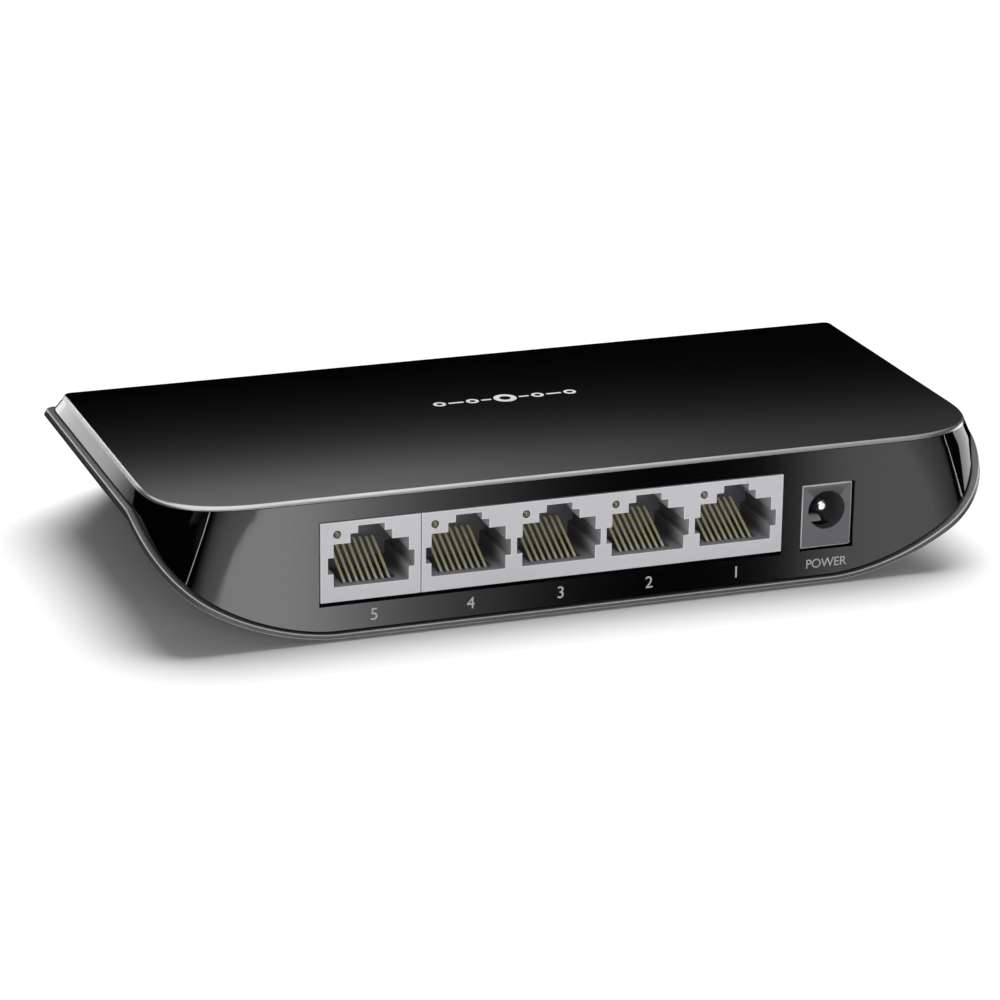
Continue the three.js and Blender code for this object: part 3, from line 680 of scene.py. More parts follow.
def panel_points():
    """Points of the rear panel's outside, row by row; the outermost columns are its seams' chamfers."""
    verts = []
    edge_rim = settle(lambda z: z - rim_z(seam_x(z)), RIM_BOTTOM_Z, RIM_Z)
    half_top = seam_x(PANEL_TOP_Z) - SEAM_GAP
    half_low = seam_x(edge_rim) - SEAM_GAP
    for row in range(WALL_ROWS):
        t = row / (WALL_ROWS - 1)
        for c in range(PANEL_COLUMNS):
            chamfer = {0: -SEAM_EDGE, PANEL_COLUMNS - 1: SEAM_EDGE}.get(c, 0)
            u = min(max(c - 1, 0), 2 * REAR_STEPS) / REAR_STEPS - 1
            u = math.copysign(abs(u) ** PANEL_CROWDING, u)
            x_low = u * half_low
            z_low = rim_z(x_low)
            x = u * half_top + (x_low - u * half_top) * t
            z = PANEL_TOP_Z + (z_low - PANEL_TOP_Z) * t
            verts.append((x + chamfer, rear_y(x, z) + abs(chamfer), z))
    return verts


def make_panel(looks):
    faces = grid_faces(WALL_ROWS, PANEL_COLUMNS)
    obj = piece("rear_panel_shell", panel_points(), faces, looks["panel"], "panel_gloss")
    # the seam chamfer columns take the light grey, a painted highlight
    obj.data.materials.append(looks["edge"])
    last = PANEL_COLUMNS - 2
    for i, face in enumerate(obj.data.polygons):
        face.material_index = 1 if i % (PANEL_COLUMNS - 1) in (0, last) else 0
    clean(obj)
    if obj.data.polygons[0].normal.y > 0:
        obj.data.flip_normals()
    thicken(obj, PANEL_WALL)
    cutters = []
    for low, high, gap in ((single_low, quad_high, JACK_GAP), (inlet_low, inlet_high, INLET_GAP)):
        outline = rectangle(low.x - gap, high.x + gap, low.z - gap, high.z + gap)
        cutters.append(tool(*prism(outline, REAR_Y - 4, REAR_Y + 4, (0, 2, 1))))
    cut(obj, cutters)
    sharpen(obj, 30)
    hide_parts("rear_panel")
    return obj


# ---- base tray
VENTS = 9
VENT_PITCH = 4.6
VENT_HALF = 0.9
VENT_RUN = (-27, -10)             # from the rear to the front end of a vent
KEYHOLE_X = 33
KEYHOLE_Y = -10
KEYHOLE_ENTRY = 3.6
KEYHOLE_SLOT = 1.9
KEYHOLE_LENGTH = 7
SCREW_HOLE_RADIUS = 2.9
FOOT_RECESS_RADIUS = 5
FOOT_RECESS = 0.6
LABEL_GAP = 0.4
LABEL_RECESS = 0.3


def edge_loop(inset, side_z, bottom_z, rise=0.0):
    """A closed loop round the lip; inset moves it inward, and the two heights bound it end-on."""
    half, grow = LIP_HALF - inset, LIP_OUT - inset
    front_grow = FRONT_LIP_OUT - inset
    right = []
    for i in range(LEVEL_STEPS):
        right.append((FLAT_HALF * i / LEVEL_STEPS, REAR_Y - grow, bottom_z))
    for i in range(CURVE_STEPS + 1):
        x, z = hull_point(math.pi / 2 * i / CURVE_STEPS, half, side_z, bottom_z)
        right.append((x, rear_y(x, z, grow, half), z))
    y_start, y_end = right[-1][1], front_y(side_z, front_grow) - FRONT_CORNER
    for i in range(1, 2 * SIDE_STEPS):
        right.append((half, y_start + (y_end - y_start) * i / (2 * SIDE_STEPS), side_z))
    for i in range(FRONT_STEPS):
        angle = math.pi / 2 * i / FRONT_STEPS
        x = half - FRONT_CORNER * (1 - math.cos(angle))
        right.append((x, y_end + FRONT_CORNER * math.sin(angle), side_z))
    for i in range(CURVE_STEPS + 1):
        angle = math.pi / 2 * (1 - i / CURVE_STEPS)
        x, z = hull_point(angle, half - FRONT_CORNER, side_z, bottom_z, True)
        right.append((x, front_y(z, front_grow), z))
    for i in range(1, LEVEL_STEPS):
        right.append((FRONT_FLAT_HALF * (1 - i / LEVEL_STEPS), front_y(bottom_z, front_grow), bottom_z))
    right.append((0, front_y(bottom_z, front_grow), bottom_z))
    left = [(-x, y, z) for x, y, z in right[-2:0:-1]]
    return [(x, y, z + rise) for x, y, z in right + left]


def make_tray(looks):
    low, top = BASE_BOTTOM_Z, RIM_BOTTOM_Z - LIP_GAP
    part_round = LIP_ROUND * 0.3
    loops = [
        edge_loop(2.6, LIP_TOP_Z, top),
        edge_loop(0.9, LIP_TOP_Z, top),
        edge_loop(LIP_ROUND, LIP_TOP_Z, top),
        edge_loop(part_round, LIP_TOP_Z, top, -part_round),
        edge_loop(0, LIP_TOP_Z, top, -LIP_ROUND),
        edge_loop(0, LIP_LOW_Z, low, LIP_ROUND),
        edge_loop(part_round, LIP_LOW_Z, low, part_round),
        edge_loop(LIP_ROUND, LIP_LOW_Z, low),
        edge_loop(0.5, LIP_LOW_Z + 0.1, low),
    ]
    rounds = (2, 3, 5, 6)                              # the rows that round the lip's two edges, painted lighter as a highlight
    count = len(loops[0])
    verts = [p for loop in loops for p in loop]
    faces, rows = [], []
    for r in range(len(loops) - 1):
        for i in range(count):
            j = (i + 1) % count
            faces.append([r * count + i, r * count + j, (r + 1) * count + j, (r + 1) * count + i])
            rows.append(r)
    pan_verts, pan_faces = pan_skin(loops[-1])
    start = len(verts)
    verts += pan_verts
    faces += [[start + i for i in face] for face in pan_faces]
    obj = piece("base_shell", verts, faces, looks["base"], "base_satin")
    # the lip's edge rounds take the lighter grey, a painted highlight
    obj.data.materials.append(looks["base_edge"])
    for face, row in zip(obj.data.polygons, rows):
        face.material_index = 1 if row in rounds else 0
    clean(obj, 0.02)
    thicken(obj, TRAY_WALL)
    cut(obj, tray_cutters())
    sharpen(obj, 40)
    soften(obj, 0.12, 2, 45)
    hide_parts("base_tray")
    return obj


def pan_skin(edge):
    """The pan below the lip, as lengthwise strips between the rear and the front of its edge loop."""
    curve = LEVEL_STEPS + CURVE_STEPS + 1
    side = 2 * SIDE_STEPS - 1 + FRONT_STEPS
    rear = [Vector(p) for p in edge[:curve]]
    front = [Vector(p) for p in edge[curve + side:2 * curve + side][::-1]]
    widest = rear[-1]
    pairs = list(zip(rear, front))
    strips = [(-1, pair) for pair in pairs[:0:-1]] + [(1, pair) for pair in pairs]
    verts = []
    for sign, (start, end) in strips:
        for i in range(PAN_STEPS + 1):
            spot = start.lerp(end, i / PAN_STEPS)
            rise = (spot.z - BASE_BOTTOM_Z) / (widest.z - BASE_BOTTOM_Z)
            tucked = PAN_HALF + (widest.x - 1 - PAN_HALF) * max(0.0, rise) ** PAN_SWELL
            drawn = smooth_step(spot.y - start.y, 0, PAN_RUN) * smooth_step(end.y - spot.y, 0, PAN_RUN)
            drawn *= smooth_step(widest.x - start.x, 0, 0.6) * smooth_step(start.x, *PAN_TURN)
            verts.append((sign * (spot.x + (min(tucked, spot.x) - spot.x) * drawn), spot.y, spot.z))
    return verts, grid_faces(2 * curve - 1, PAN_STEPS + 1)


def smooth_step(value, low, high):
    """0 below low, 1 above high, and an even change between."""
    t = min(1.0, max(0.0, (value - low) / (high - low)))
    return t * t * (3 - 2 * t)


def upright_tool(outline, low, high):
    return tool(*prism(outline, low, high, (0, 1, 2)))


def middle_of(node):
    low, high = node_box(node)
    return (low.x + high.x) / 2, (low.y + high.y) / 2


def keyhole(x, y):
    """A round entry for a screw's head with a narrower slot on one side."""
    entry_angles = [math.radians(122 + i * 296 / 30) for i in range(31)]
    slot_angles = [math.radians(i * 180 / 12) for i in range(13)]
    entry = [(KEYHOLE_ENTRY * math.cos(a), KEYHOLE_ENTRY * math.sin(a)) for a in entry_angles]
    slot = [(KEYHOLE_SLOT * math.cos(a), KEYHOLE_LENGTH + KEYHOLE_SLOT * math.sin(a)) for a in slot_angles]
    return [(x + u, y + v) for u, v in slot + entry]


def tray_cutters():
    """Vents, keyholes and screw holes through the floor, and recesses for the feet and the label."""
    below, above = BASE_BOTTOM_Z - 3, BASE_BOTTOM_Z + 4
    cutters = []
    for i in range(VENTS):
        x = (i - VENTS // 2) * VENT_PITCH
        outline = rectangle(x - VENT_HALF, x + VENT_HALF, *VENT_RUN, VENT_HALF - 0.02)
        cutters.append(upright_tool(outline, below, above))
    for side, screw in ((-1, "case_screw_1"), (1, "case_screw_2")):
        cutters.append(upright_tool(keyhole(side * KEYHOLE_X, KEYHOLE_Y), below, above))
        cutters.append(upright_tool(circle(*middle_of(screw), SCREW_HOLE_RADIUS), below, above))
    for i in range(1, 5):
        outline = circle(*middle_of(f"rubber_foot_{i}"), FOOT_RECESS_RADIUS, 64)
        cutters.append(upright_tool(outline, below, BASE_BOTTOM_Z + FOOT_RECESS))
    low, high = node_box("rating_label")
    gap = LABEL_GAP
    outline = rectangle(low.x - gap, high.x + gap, low.y - gap, high.y + gap, 1)
    cutters.append(upright_tool(outline, below, BASE_BOTTOM_Z + LABEL_RECESS))
    return cutters


# ---- small round pieces
THREAD_PITCH = 0.5
THREAD_RADII = (0.95, 1.2)        # at its root and its crest


def make_feet(looks):
    for i in range(1, 5):
        low, high = node_box(f"rubber_foot_{i}")
        radius = (high.x - low.x) / 2
        top, bottom = high.z, low.z
        profile = [(0, bottom + 0.12), (radius * 0.55, bottom + 0.1), (radius * 0.62, bottom)]
        profile += [(radius - 0.35, bottom), (radius - 0.1, bottom + 0.08), (radius, bottom + 0.3)]
        points, faces = turned(profile + [(radius, top), (0, top)], 64)
        place = (*middle_of(f"rubber_foot_{i}"), 0)
        obj = piece(f"foot_{i}", placed(points, place), faces, looks["rubber"], "foot_rubber")
        sharpen(clean(obj), 50)
        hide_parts(f"rubber_foot_{i}")


def make_screw(node, looks, head_down):
    """A pan-head screw with a cross recess and a threaded shank."""
    low, high = node_box(node)
    radius = (high.x - low.x) / 2
    length = high.z - low.z
    head = 1.3 if head_down else 1.6
    profile = [(0, 0), (radius * 0.7, 0), (radius * 0.92, 0.25), (radius, 0.6), (radius, head), (1.1, head)]
    root, crest = THREAD_RADII
    for i in range(int((length - head - 0.6) / THREAD_PITCH)):
        z = head + 0.3 + i * THREAD_PITCH
        profile += [(root, z), (crest, z + THREAD_PITCH / 2)]
    profile += [(root, length - 0.3), (0.6, length), (0, length)]
    points, faces = turned(profile, 32)
    flip = Matrix.Identity(3) if head_down else Matrix.Rotation(math.pi, 3, "X")
    x, y = middle_of(node)
    z = low.z if head_down else high.z
    obj = piece(node + "_body", placed(points, (x, y, z), flip), faces, looks["steel"], "screw_steel")
    clean(obj)
    arms = [rectangle(x - wide, x + wide, y - deep, y + deep) for wide, deep in ((1.5, 0.28), (0.28, 1.5))]
    cut(obj, [upright_tool(arm, z - 0.8, z + 0.8) for arm in arms])
    sharpen(obj, 35)
    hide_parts(node)


def make_label(looks):
    """A blank rating label with four plain rules."""
    low, high = node_box("rating_label")
    outline = rectangle(low.x, high.x, low.y, high.y, 0.8)
    points, faces = prism(outline, low.z + 0.01, high.z, (0, 1, 2))
    obj = piece("label_plate", points, faces, looks["label"], "label_film")
    sharpen(clean(obj), 35)
    soften(obj, 0.03, 2)
    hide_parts("rating_label")
    for i in range(4):
        y = low.y + 3.2 + i * 4.4
        outline = rectangle(low.x + 3, high.x - 3, y, y + 0.25, 0.1)
        points, faces = prism(outline, low.z - 0.005, low.z + 0.05, (0, 1, 2))
        rule = piece(f"label_rule_{i + 1}", points, faces, looks["chip"], "label_film")
        sharpen(clean(rule), 35)


def make_power_light(looks):
    seat, turn = front_frame()
    lens = [(0, 0.22), (0.4, 0.2), (0.75, 0.1), (1.0, -0.06), (1.08, -0.25), (1.08, -5), (0, -5)]
    points, faces = turned(lens, 40)
    obj = piece("power_light_lens", placed(points, seat, turn), faces, looks["lens"], "light_lens")
    sharpen(clean(obj), 50)
    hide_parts("light_pipe")


# ---- sockets
WIRE_PITCH = 1.02
WIRE_RADIUS = 0.235
WIRE_SLOPE_DEGREES = 25
WIRE_SLOPE = math.radians(WIRE_SLOPE_DEGREES)
WIRE_HINGE = (0.4, 0.35)          # the hinge, along Y and Z from the low corner of the set's box
WIRE_STUB = [(0.75, -0.62), (0.3, -0.62)]
WIRE_BEND = (0.1, -0.2)           # middle of the bend, along Y and Z from the hinge
WIRE_BEND_RADIUS = 0.42
PAINTED_HIGHLIGHT_LENGTH = 1.3               # how far behind the hinge a wire has the painted highlight


def wire_path(hinge_y, hinge_z, length):
    """Side view of one wire: its stub, round the bend and back along the slope."""
    points = list(WIRE_STUB)
    bend_y, bend_z = WIRE_BEND
    for i in range(9):
        angle = math.radians(270 - i * (180 - WIRE_SLOPE_DEGREES) / 8)
        out, up = WIRE_BEND_RADIUS * math.cos(angle), WIRE_BEND_RADIUS * math.sin(angle)
        points.append((bend_y + out, bend_z + up))
    start = Vector((points[-1][0], points[-1][1]))
    along = Vector((math.cos(WIRE_SLOPE), math.sin(WIRE_SLOPE)))
    for t in (0.06, 0.1, 0.25, 0.5, 0.75, 0.93):
        points.append(tuple(start + along * length * t))
    end = start + along * length
    points.append((end.x, end.y - 0.12))
    return [(hinge_y + y, hinge_z + z) for y, z in points]


def tube(path, radius, steps=10):
    """Points and faces of a round wire along a path that lies in one plane of constant X."""
    verts, faces = [], []
    for k, p in enumerate(path):
        before = path[max(0, k - 1)]
        after = path[min(len(path) - 1, k + 1)]
        along = (after - before).normalized()
        side = Vector((1, 0, 0))
        up = along.cross(side).normalized()
        for i in range(steps):
            angle = 2 * math.pi * i / steps
            verts.append(p + side * radius * math.cos(angle) + up * radius * 0.8 * math.sin(angle))
    for k in range(len(path) - 1):
        for i in range(steps):
            j = (i + 1) % steps
            faces.append([k * steps + i, k * steps + j, (k + 1) * steps + j, (k + 1) * steps + i])
    faces.append(list(range(steps))[::-1])
    faces.append([(len(path) - 1) * steps + i for i in range(steps)])
    return verts, faces


def make_contacts(number, looks):
    node = f"contact_set_port_{number}"
    low, high = node_box(node)
    centre = (low.x + high.x) / 2
    hinge_y, hinge_z = low.y + WIRE_HINGE[0], low.z + WIRE_HINGE[1]
    length = (high.y - hinge_y) / math.cos(WIRE_SLOPE) - 0.5
    side_view = wire_path(hinge_y, hinge_z, length)
    verts, faces = [], []
    for i in range(8):
        x = centre + (i - 3.5) * WIRE_PITCH
        points, quads = tube([Vector((x, y, z)) for y, z in side_view], WIRE_RADIUS)
        faces += [[len(verts) + q for q in quad] for quad in quads]
        verts += points
    body = f"port_{number}_contacts"
    obj = piece(f"contacts_port_{number}", verts, faces, looks["gold"], "contact_gold", body)
    obj.data.materials.append(looks["gold_painted_highlight"])
    for face in obj.data.polygons:                     # painted highlight on the bend at the mouth of the socket
        face.material_index = 1 if face.center.y < (hinge_y + PAINTED_HIGHLIGHT_LENGTH) * MM else 0
    clean(obj)
    sharpen(obj, 60)
    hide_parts(node)


def make_led(number, looks):
    low, high = node_box(f"port_led_{number}")
    centre = Vector(((low.x + high.x) / 2, low.y + 0.15, (low.z + high.z) / 2))
    dome = [(0, 0.2), (0.18, 0.18), (0.34, 0.12), (0.46, 0.0), (0.5, -0.12), (0.5, -3), (0, -3)]
    points, faces = turned(dome, 32)
    turn = Matrix.Rotation(math.pi / 2, 3, "X")
    obj = piece(f"port_light_{number}", placed(points, centre, turn), faces, looks["led"], "led_lens")
    sharpen(clean(obj), 60)
    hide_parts(f"port_led_{number}")


# ---- power inlet
INLET_X = (inlet_low.x + inlet_high.x) / 2
INLET_HOLE_Z = 12.1
INLET_HOLE_RADIUS = 3.15


def make_inlet_block(looks):
    x = INLET_X
    outline = rectangle(inlet_low.x, inlet_high.x, inlet_low.z, inlet_high.z)
    points, faces = prism(outline, inlet_low.y, inlet_high.y, (0, 2, 1))
    obj = piece("inlet_block", points, faces, looks["inlet"], "inlet_grey")
    clean(obj)
    # the chamfer takes the pale colour, a painted highlight
    apply_modifiers(soften(obj, 0.24, 1, 60, looks["inlet_edge"]))
    hole = circle(x, INLET_HOLE_Z, INLET_HOLE_RADIUS, 72)
    bore = tool(*prism(hole, inlet_low.y - 2, inlet_low.y + 9.5, (0, 2, 1)))
    leaf_room = rectangle(x - 1.6, x + 1.6, inlet_low.z - 1, INLET_HOLE_Z - 1)
    slot = tool(*prism(leaf_room, inlet_low.y + 2, inlet_low.y + 12, (0, 2, 1)))
    cut(obj, [bore, slot])
    sharpen(obj, 30)
    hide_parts("power_inlet_body")


def make_inlet_pin(looks):
    low, _ = node_box("power_inlet_pin")
    pin = [(0, 0), (0.45, 0.02), (0.8, 0.16), (0.96, 0.4), (1.0, 0.75), (1.0, 12.6), (0, 12.6)]
    points, faces = turned([(r, -h) for r, h in pin], 40)
    turn = Matrix.Rotation(math.pi / 2, 3, "X")
    tip = Vector((INLET_X, low.y, INLET_HOLE_Z))
    obj = piece("inlet_pin", placed(points, tip, turn), faces, looks["chrome"], "inlet_metal")
    sharpen(clean(obj), 50)
    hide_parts("power_inlet_pin")


def make_inlet_leaf(looks):
    """A sprung strip that rises towards the mouth of the hole."""
    low, high = node_box("power_inlet_leaf")
    outline = [(high.y - 0.4, low.z + 0.02), (high.y, low.z), (high.y, low.z + 0.35)]
    for i in range(9):
        t = i / 8
        outline.append((high.y - 0.4 - 5.6 * t, low.z + 0.35 + 1.75 * math.sin(math.pi / 2 * t) ** 1.1))
    outline += [(low.y, high.z - 0.5), (low.y + 0.1, high.z - 0.72)]
    for i in range(9):
        t = 1 - i / 8
        outline.append((high.y - 0.7 - 5.2 * t, low.z + 0.03 + 1.7 * math.sin(math.pi / 2 * t) ** 1.1))
    points, faces = prism(outline, low.x, high.x, (1, 2, 0))
    obj = piece("inlet_leaf", points, faces, looks["spring"], "inlet_metal", "inlet_contact")
    sharpen(clean(obj), 30)
    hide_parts("power_inlet_leaf")


# ---- lettering and mark
LETTER_RELIEF = 0.06
MARK_PLACE = (-0.4, -5.0)
MARK_PITCH = 5.6
MARK_RADII = (1.05, 1.05, 1.9, 1.05, 1.05)
MARK_GAP = 0.45                   # between a node and a link
MARK_LINK_HALF = 0.27
MARK_STEPS = 48
MARK_LEVELS = (HEIGHT - 0.004, HEIGHT + 0.02)


def lettering(name, text, size, centre, turn, material, spacing=1.0):
    """Raised letters whose middle stands at centre, in millimetres."""
    curve = bpy.data.curves.new(name, "FONT")
    curve.body = text
    curve.size = size * MM
    curve.extrude = LETTER_RELIEF * MM
    curve.align_x = "CENTER"
    curve.align_y = "CENTER"
    curve.space_character = spacing
    curve.resolution_u = 6
    holder = add_object(name + "_curve", curve)
    bpy.context.view_layer.update()
    graph = bpy.context.evaluated_depsgraph_get()
    mesh = bpy.data.meshes.new_from_object(holder.evaluated_get(graph))
    bpy.data.objects.remove(holder)
    across = [v.co.x for v in mesh.vertices]
    up = [v.co.y for v in mesh.vertices]
    middle = Vector((min(across) + max(across), min(up) + max(up), 0)) / 2
    mesh.transform(Matrix.Translation(centre * MM) @ turn @ Matrix.Translation(-middle))
    mesh.materials.clear()
    mesh.materials.append(material)
    obj = add_object(name, mesh)
    clean(obj, 0.001)
    sharpen(obj, 30)
    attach(obj, ROOT)
    return obj


def make_lettering(looks):
    upright = Matrix.Rotation(math.pi / 2, 4, "X")
    for number in range(1, 6):
        x = middle_of(f"contact_set_port_{number}")[0] + 0.5
        place = Vector((x, REAR_Y, 3.6))
        lettering(f"port_number_{number}", str(number), 2.75, place, upright, looks["digits"])
    place = Vector((40.1, REAR_Y, 3.5))
    lettering("inlet_word", "POWER", 2.1, place, upright, looks["digits"], 0.95)


def ring(x, y, radius):
    """Points and faces of a flat ring whose hole is half as wide."""
    n = MARK_STEPS
    verts, faces = [], []
    for level in MARK_LEVELS:
        for edge in (radius, radius * 0.5):
            verts += [(u, v, level) for u, v in circle(x, y, edge, n)]
    for k in range(n):
        j = (k + 1) % n
        faces.append([2 * n + k, 2 * n + j, 3 * n + j, 3 * n + k])
        faces.append([k, j, 2 * n + j, 2 * n + k])
        faces.append([n + j, n + k, 3 * n + k, 3 * n + j])
        faces.append([n + k, n + j, j, k])
    return verts, faces


def make_mark(looks):
    """A plain sign of five linked nodes, printed on the top plate."""
    middle_x, y = MARK_PLACE
    for i, radius in enumerate(MARK_RADII):
        x = middle_x + (i - 2) * MARK_PITCH
        node = piece(f"mark_node_{i + 1}", *ring(x, y, radius), looks["print"], "cover_gloss")
        sharpen(clean(node, 0.001), 30)
        if i + 1 < len(MARK_RADII):
            start = x + radius + MARK_GAP
            end = x + MARK_PITCH - MARK_RADII[i + 1] - MARK_GAP
            outline = rectangle(start, end, y - MARK_LINK_HALF, y + MARK_LINK_HALF, 0.2)
            points, faces = prism(outline, *MARK_LEVELS, (0, 1, 2))
            link = piece(f"mark_link_{i + 1}", points, faces, looks["print"], "cover_gloss")
            sharpen(clean(link, 0.001), 30)


# ---- CAD nodes that stay
def dress(node, material, edge=0.0, segments=2, edge_look=None):
    """Gives a CAD node its material and rounds its edges."""
    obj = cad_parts[node]
    obj.data.materials.clear()
    obj.data.materials.append(material)
    weld = obj.modifiers.new("weld", "WELD")
    weld.merge_threshold = 0.002 * MM
    if edge:
        soften(obj, edge, segments, 30, edge_look)


def dress_nodes(looks):
    dress("circuit_board", looks["board"], 0.1)
    for node in ("ethernet_jack_ports_1_to_4", "ethernet_jack_port_5"):
        # the sockets' rounded edges take the lighter copy, a painted highlight
        dress(node, looks["jack"], 0.09, 2, looks["jack_edge"])
    for number in range(1, 6):
        dress(f"line_transformer_{number}", looks["chip"], 0.25)
    for node in ("switch_chip", "settings_memory_chip", "regulator_chip"):
        dress(node, looks["chip"], 0.12)
    dress("thermal_pad", looks["pad"], 0.08)
    dress("heat_sink", looks["sink"], 0.12)
    dress("crystal", looks["can"], 0.5, 3)
    dress("power_inductor", looks["ferrite"], 0.3)
    dress("input_fuse", looks["ceramic"], 0.15)
    dress("input_capacitor", looks["can"], 0.2)
    dress("output_capacitor", looks["can"], 0.2)
    dress("power_led", looks["lens"], 0.12)


# ---- floor and light, in metres
FLOOR_REACH = 6


def faded(nodes, links, place, level, axis, stops):
    """A light level times a curve through (place along the axis, level) stops."""
    low, high = stops[0][0], stops[-1][0]
    curve = nodes.new("ShaderNodeFloatCurve")
    points = curve.mapping.curves[0].points
    while len(points) < len(stops):
        points.new(0.5, 0.5)
    for point, (spot, share) in zip(points, stops):
        point.location = ((spot - low) / (high - low), share)
    curve.mapping.update()
    span = nodes.new("ShaderNodeMapRange")
    set_inputs(span, From_Min=low, From_Max=high)
    links.new(place.outputs[axis], span.inputs["Value"])
    links.new(span.outputs["Result"], curve.inputs["Value"])
    both = nodes.new("ShaderNodeMath")
    both.operation = "MULTIPLY"
    links.new(level.outputs[0], both.inputs[0])
    links.new(curve.outputs[0], both.inputs[1])
    return both


def card(name, corners, strength, *fades):
    """A reflector that only gloss sees: a glowing sheet between corner points in metres.

    Each fade is an axis and its stops; the levels are multiplied together."""
    material = bpy.data.materials.new(name)
    material.use_nodes = True
    nodes, links = material.node_tree.nodes, material.node_tree.links
    nodes.clear()
    output = nodes.new("ShaderNodeOutputMaterial")
    light = nodes.new("ShaderNodeEmission")
    links.new(light.outputs["Emission"], output.inputs["Surface"])
    place = nodes.new("ShaderNodeTexCoord")
    parts = nodes.new("ShaderNodeSeparateXYZ")
    links.new(place.outputs["Object"], parts.inputs["Vector"])
    level = nodes.new("ShaderNodeValue")
    level.outputs[0].default_value = strength
    for axis, stops in fades:
        level = faded(nodes, links, parts, level, axis, stops)
    links.new(level.outputs[0], light.inputs["Strength"])
    material.cycles.emission_sampling = "NONE"
    mesh = bpy.data.meshes.new(name)
    mesh.from_pydata(corners, [], [[0, 1, 2, 3]])
    mesh.materials.append(material)
    obj = add_object(name, mesh)
    for flag in ("visible_camera", "visible_diffuse", "visible_shadow", "visible_transmission",
                 "visible_volume_scatter"):
        setattr(obj, flag, False)
    return obj


def upright_card(name, y, x_range, z_range, strength, *fades):
    (x0, x1), (z0, z1) = x_range, z_range
    corners = [(x0, y, z0), (x1, y, z0), (x1, y, z1), (x0, y, z1)]
    return card(name, corners, strength, *fades)


def side_card(name, x, y_range, z_range, strength, *fades):
    (y0, y1), (z0, z1) = y_range, z_range
    corners = [(x, y0, z0), (x, y1, z0), (x, y1, z1), (x, y0, z1)]
    return card(name, corners, strength, *fades)


def area_light(name, place, size, power):
    """A soft light aimed at the switch, unseen by the camera and by gloss."""
    data = bpy.data.lights.new(name, "AREA")
    data.shape = "RECTANGLE"
    data.size, data.size_y = size
    data.energy = power
    light = add_object(name, data)
    light.location = place
    light.rotation_mode = "QUATERNION"
    light.rotation_quaternion = (Vector((0, 0, 0.01)) - Vector(place)).to_track_quat("-Z", "Y")
    light.visible_camera = False
    light.visible_glossy = False


def make_stage():
    """A white floor and an even white surround, neither of them seen in gloss."""
    mesh = bpy.data.meshes.new("floor")
    corners = [(x, y, 0) for x, y in rectangle(-FLOOR_REACH, FLOOR_REACH, -FLOOR_REACH, FLOOR_REACH)]
    mesh.from_pydata(corners, [], [[0, 1, 2, 3]])
    material, _, _, shader = shader_of("floor_white")
    set_inputs(shader, Base_Color=(0.92, 0.92, 0.92, 1), Roughness=0.9, Specular_IOR_Level=0.0)
    mesh.materials.append(material)
    floor = add_object("floor", mesh)
    floor.visible_glossy = False

    world = bpy.data.worlds.new("studio")
    bpy.context.scene.world = world
    world.use_nodes = True
    set_inputs(world.node_tree.nodes["Background"], Color=(1, 1, 1, 1), Strength=0.18)
    world.cycles_visibility.glossy = False
    bpy.context.scene.view_settings.view_transform = "Standard"


def sun_light(name, source, strength, spread_degrees):
    """An even soft light from the direction of source."""
    data = bpy.data.lights.new(name, "SUN")
    data.energy = strength
    data.angle = math.radians(spread_degrees)
    light = add_object(name, data)
    light.rotation_mode = "QUATERNION"
    light.rotation_quaternion = (-Vector(source)).to_track_quat("-Z", "Y")
    light.visible_glossy = False


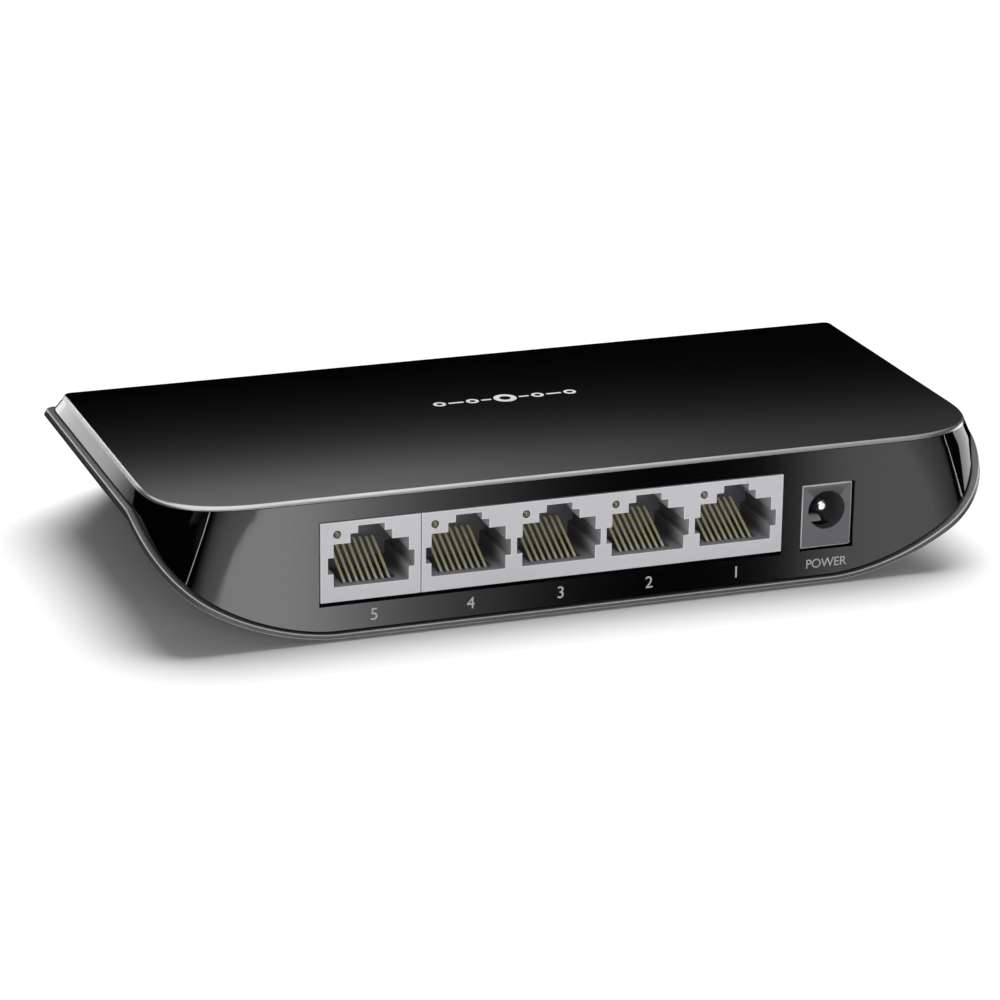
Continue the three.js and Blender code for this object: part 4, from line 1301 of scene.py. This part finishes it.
def make_lights():
    sun_light("key", (0.22, 0.3, 1.0), 3.3, 50)
    area_light("front_fill", (-0.1, -1.2, 0.25), (0.8, 0.5), 5.5)
    # behind, seen in the top plate: dark low down, so that the plate's far side stays black
    upright_card("backdrop", 1.2, (-0.3, 1.4), (0.3, 1.0), 1.0,
                 ("Z", [(0.3, 0.0), (0.42, 0.005), (0.435, 0.04), (0.447, 0.13), (0.459, 0.37),
                        (0.475, 0.73), (0.52, 1.0), (1.0, 1.0)]),
                 ("X", [(-0.3, 1.0), (0.28, 1.0), (0.48, 0.55), (0.67, 0.24), (1.4, 0.2)]))
    # far left behind, seen in the side skirt and its bevel; it ends where the skirt turns dark
    upright_card("left_wing", 1.2, (-0.62, -0.4), (-0.2, 0.6), 3.5,
                 ("X", [(-0.62, 0.0), (-0.583, 0.06), (-0.573, 0.26), (-0.563, 0.5), (-0.533, 0.64),
                        (-0.52, 1.0), (-0.4, 1.0)]))
    # left and overhead, seen in the rounded corner's bevel
    side_card("left_sky", -1.0, (-1.2, 1.2), (0.42, 1.2), 2.4, ("Z", [(0.42, 0.0), (0.6, 1.0), (1.2, 1.0)]))
    card("overhead", [(-1.0, -1.6, 0.9), (1.2, -1.6, 0.9), (1.2, 1.0, 0.9), (-1.0, 1.0, 0.9)], 2.4,
         ("X", [(-1.0, 1.0), (0.25, 1.0), (0.5, 0.35), (1.2, 0.25)]),
         ("Y", [(-1.6, 1.0), (0.1, 1.0), (0.3, 0.4), (1.0, 0.05)]))
    # beyond the camera, seen in the top plate from the front of the switch
    upright_card("far_wall", -2.0, (-2.0, 2.0), (0.45, 1.3), 0.8,
                 ("Z", [(0.45, 0.0), (0.7, 0.3), (1.0, 1.0), (1.3, 1.0)]))
    # right behind, seen in the right corner of the cover
    side_card("right_wing", 1.2, (-0.2, 0.6), (-0.6, 0.2), 3.0,
              ("Z", [(-0.6, 0.0), (-0.45, 0.12), (-0.3, 0.6), (-0.1, 1.0), (0.2, 1.0)]))
    # in front and below, seen in the rear wall
    upright_card("front_low", -1.043, (-0.7, 2.5), (-1.2, 0.3), 4.7,
                 ("X", [(-0.7, 0.0), (-0.35, 0.1), (-0.05, 0.3), (0.16, 0.38), (0.24, 1.0),
                        (0.26, 0.88), (0.3, 0.4), (0.35, 0.12), (0.42, 0.0), (0.48, 0.01),
                        (0.54, 0.38), (0.62, 0.3), (0.9, 0.2), (1.6, 0.1), (2.5, 0.0)]))


make_camera()
looks = make_materials()
make_cover(looks)
make_panel(looks)
make_tray(looks)
make_feet(looks)
for screw in ("case_screw_1", "case_screw_2"):
    make_screw(screw, looks, True)
for screw in ("board_screw_1", "board_screw_2", "board_screw_3"):
    make_screw(screw, looks, False)
make_label(looks)
make_power_light(looks)
for port in range(1, 6):
    make_contacts(port, looks)
    make_led(port, looks)
make_inlet_block(looks)
make_inlet_pin(looks)
make_inlet_leaf(looks)
make_lettering(looks)
make_mark(looks)
dress_nodes(looks)
make_stage()
make_lights()
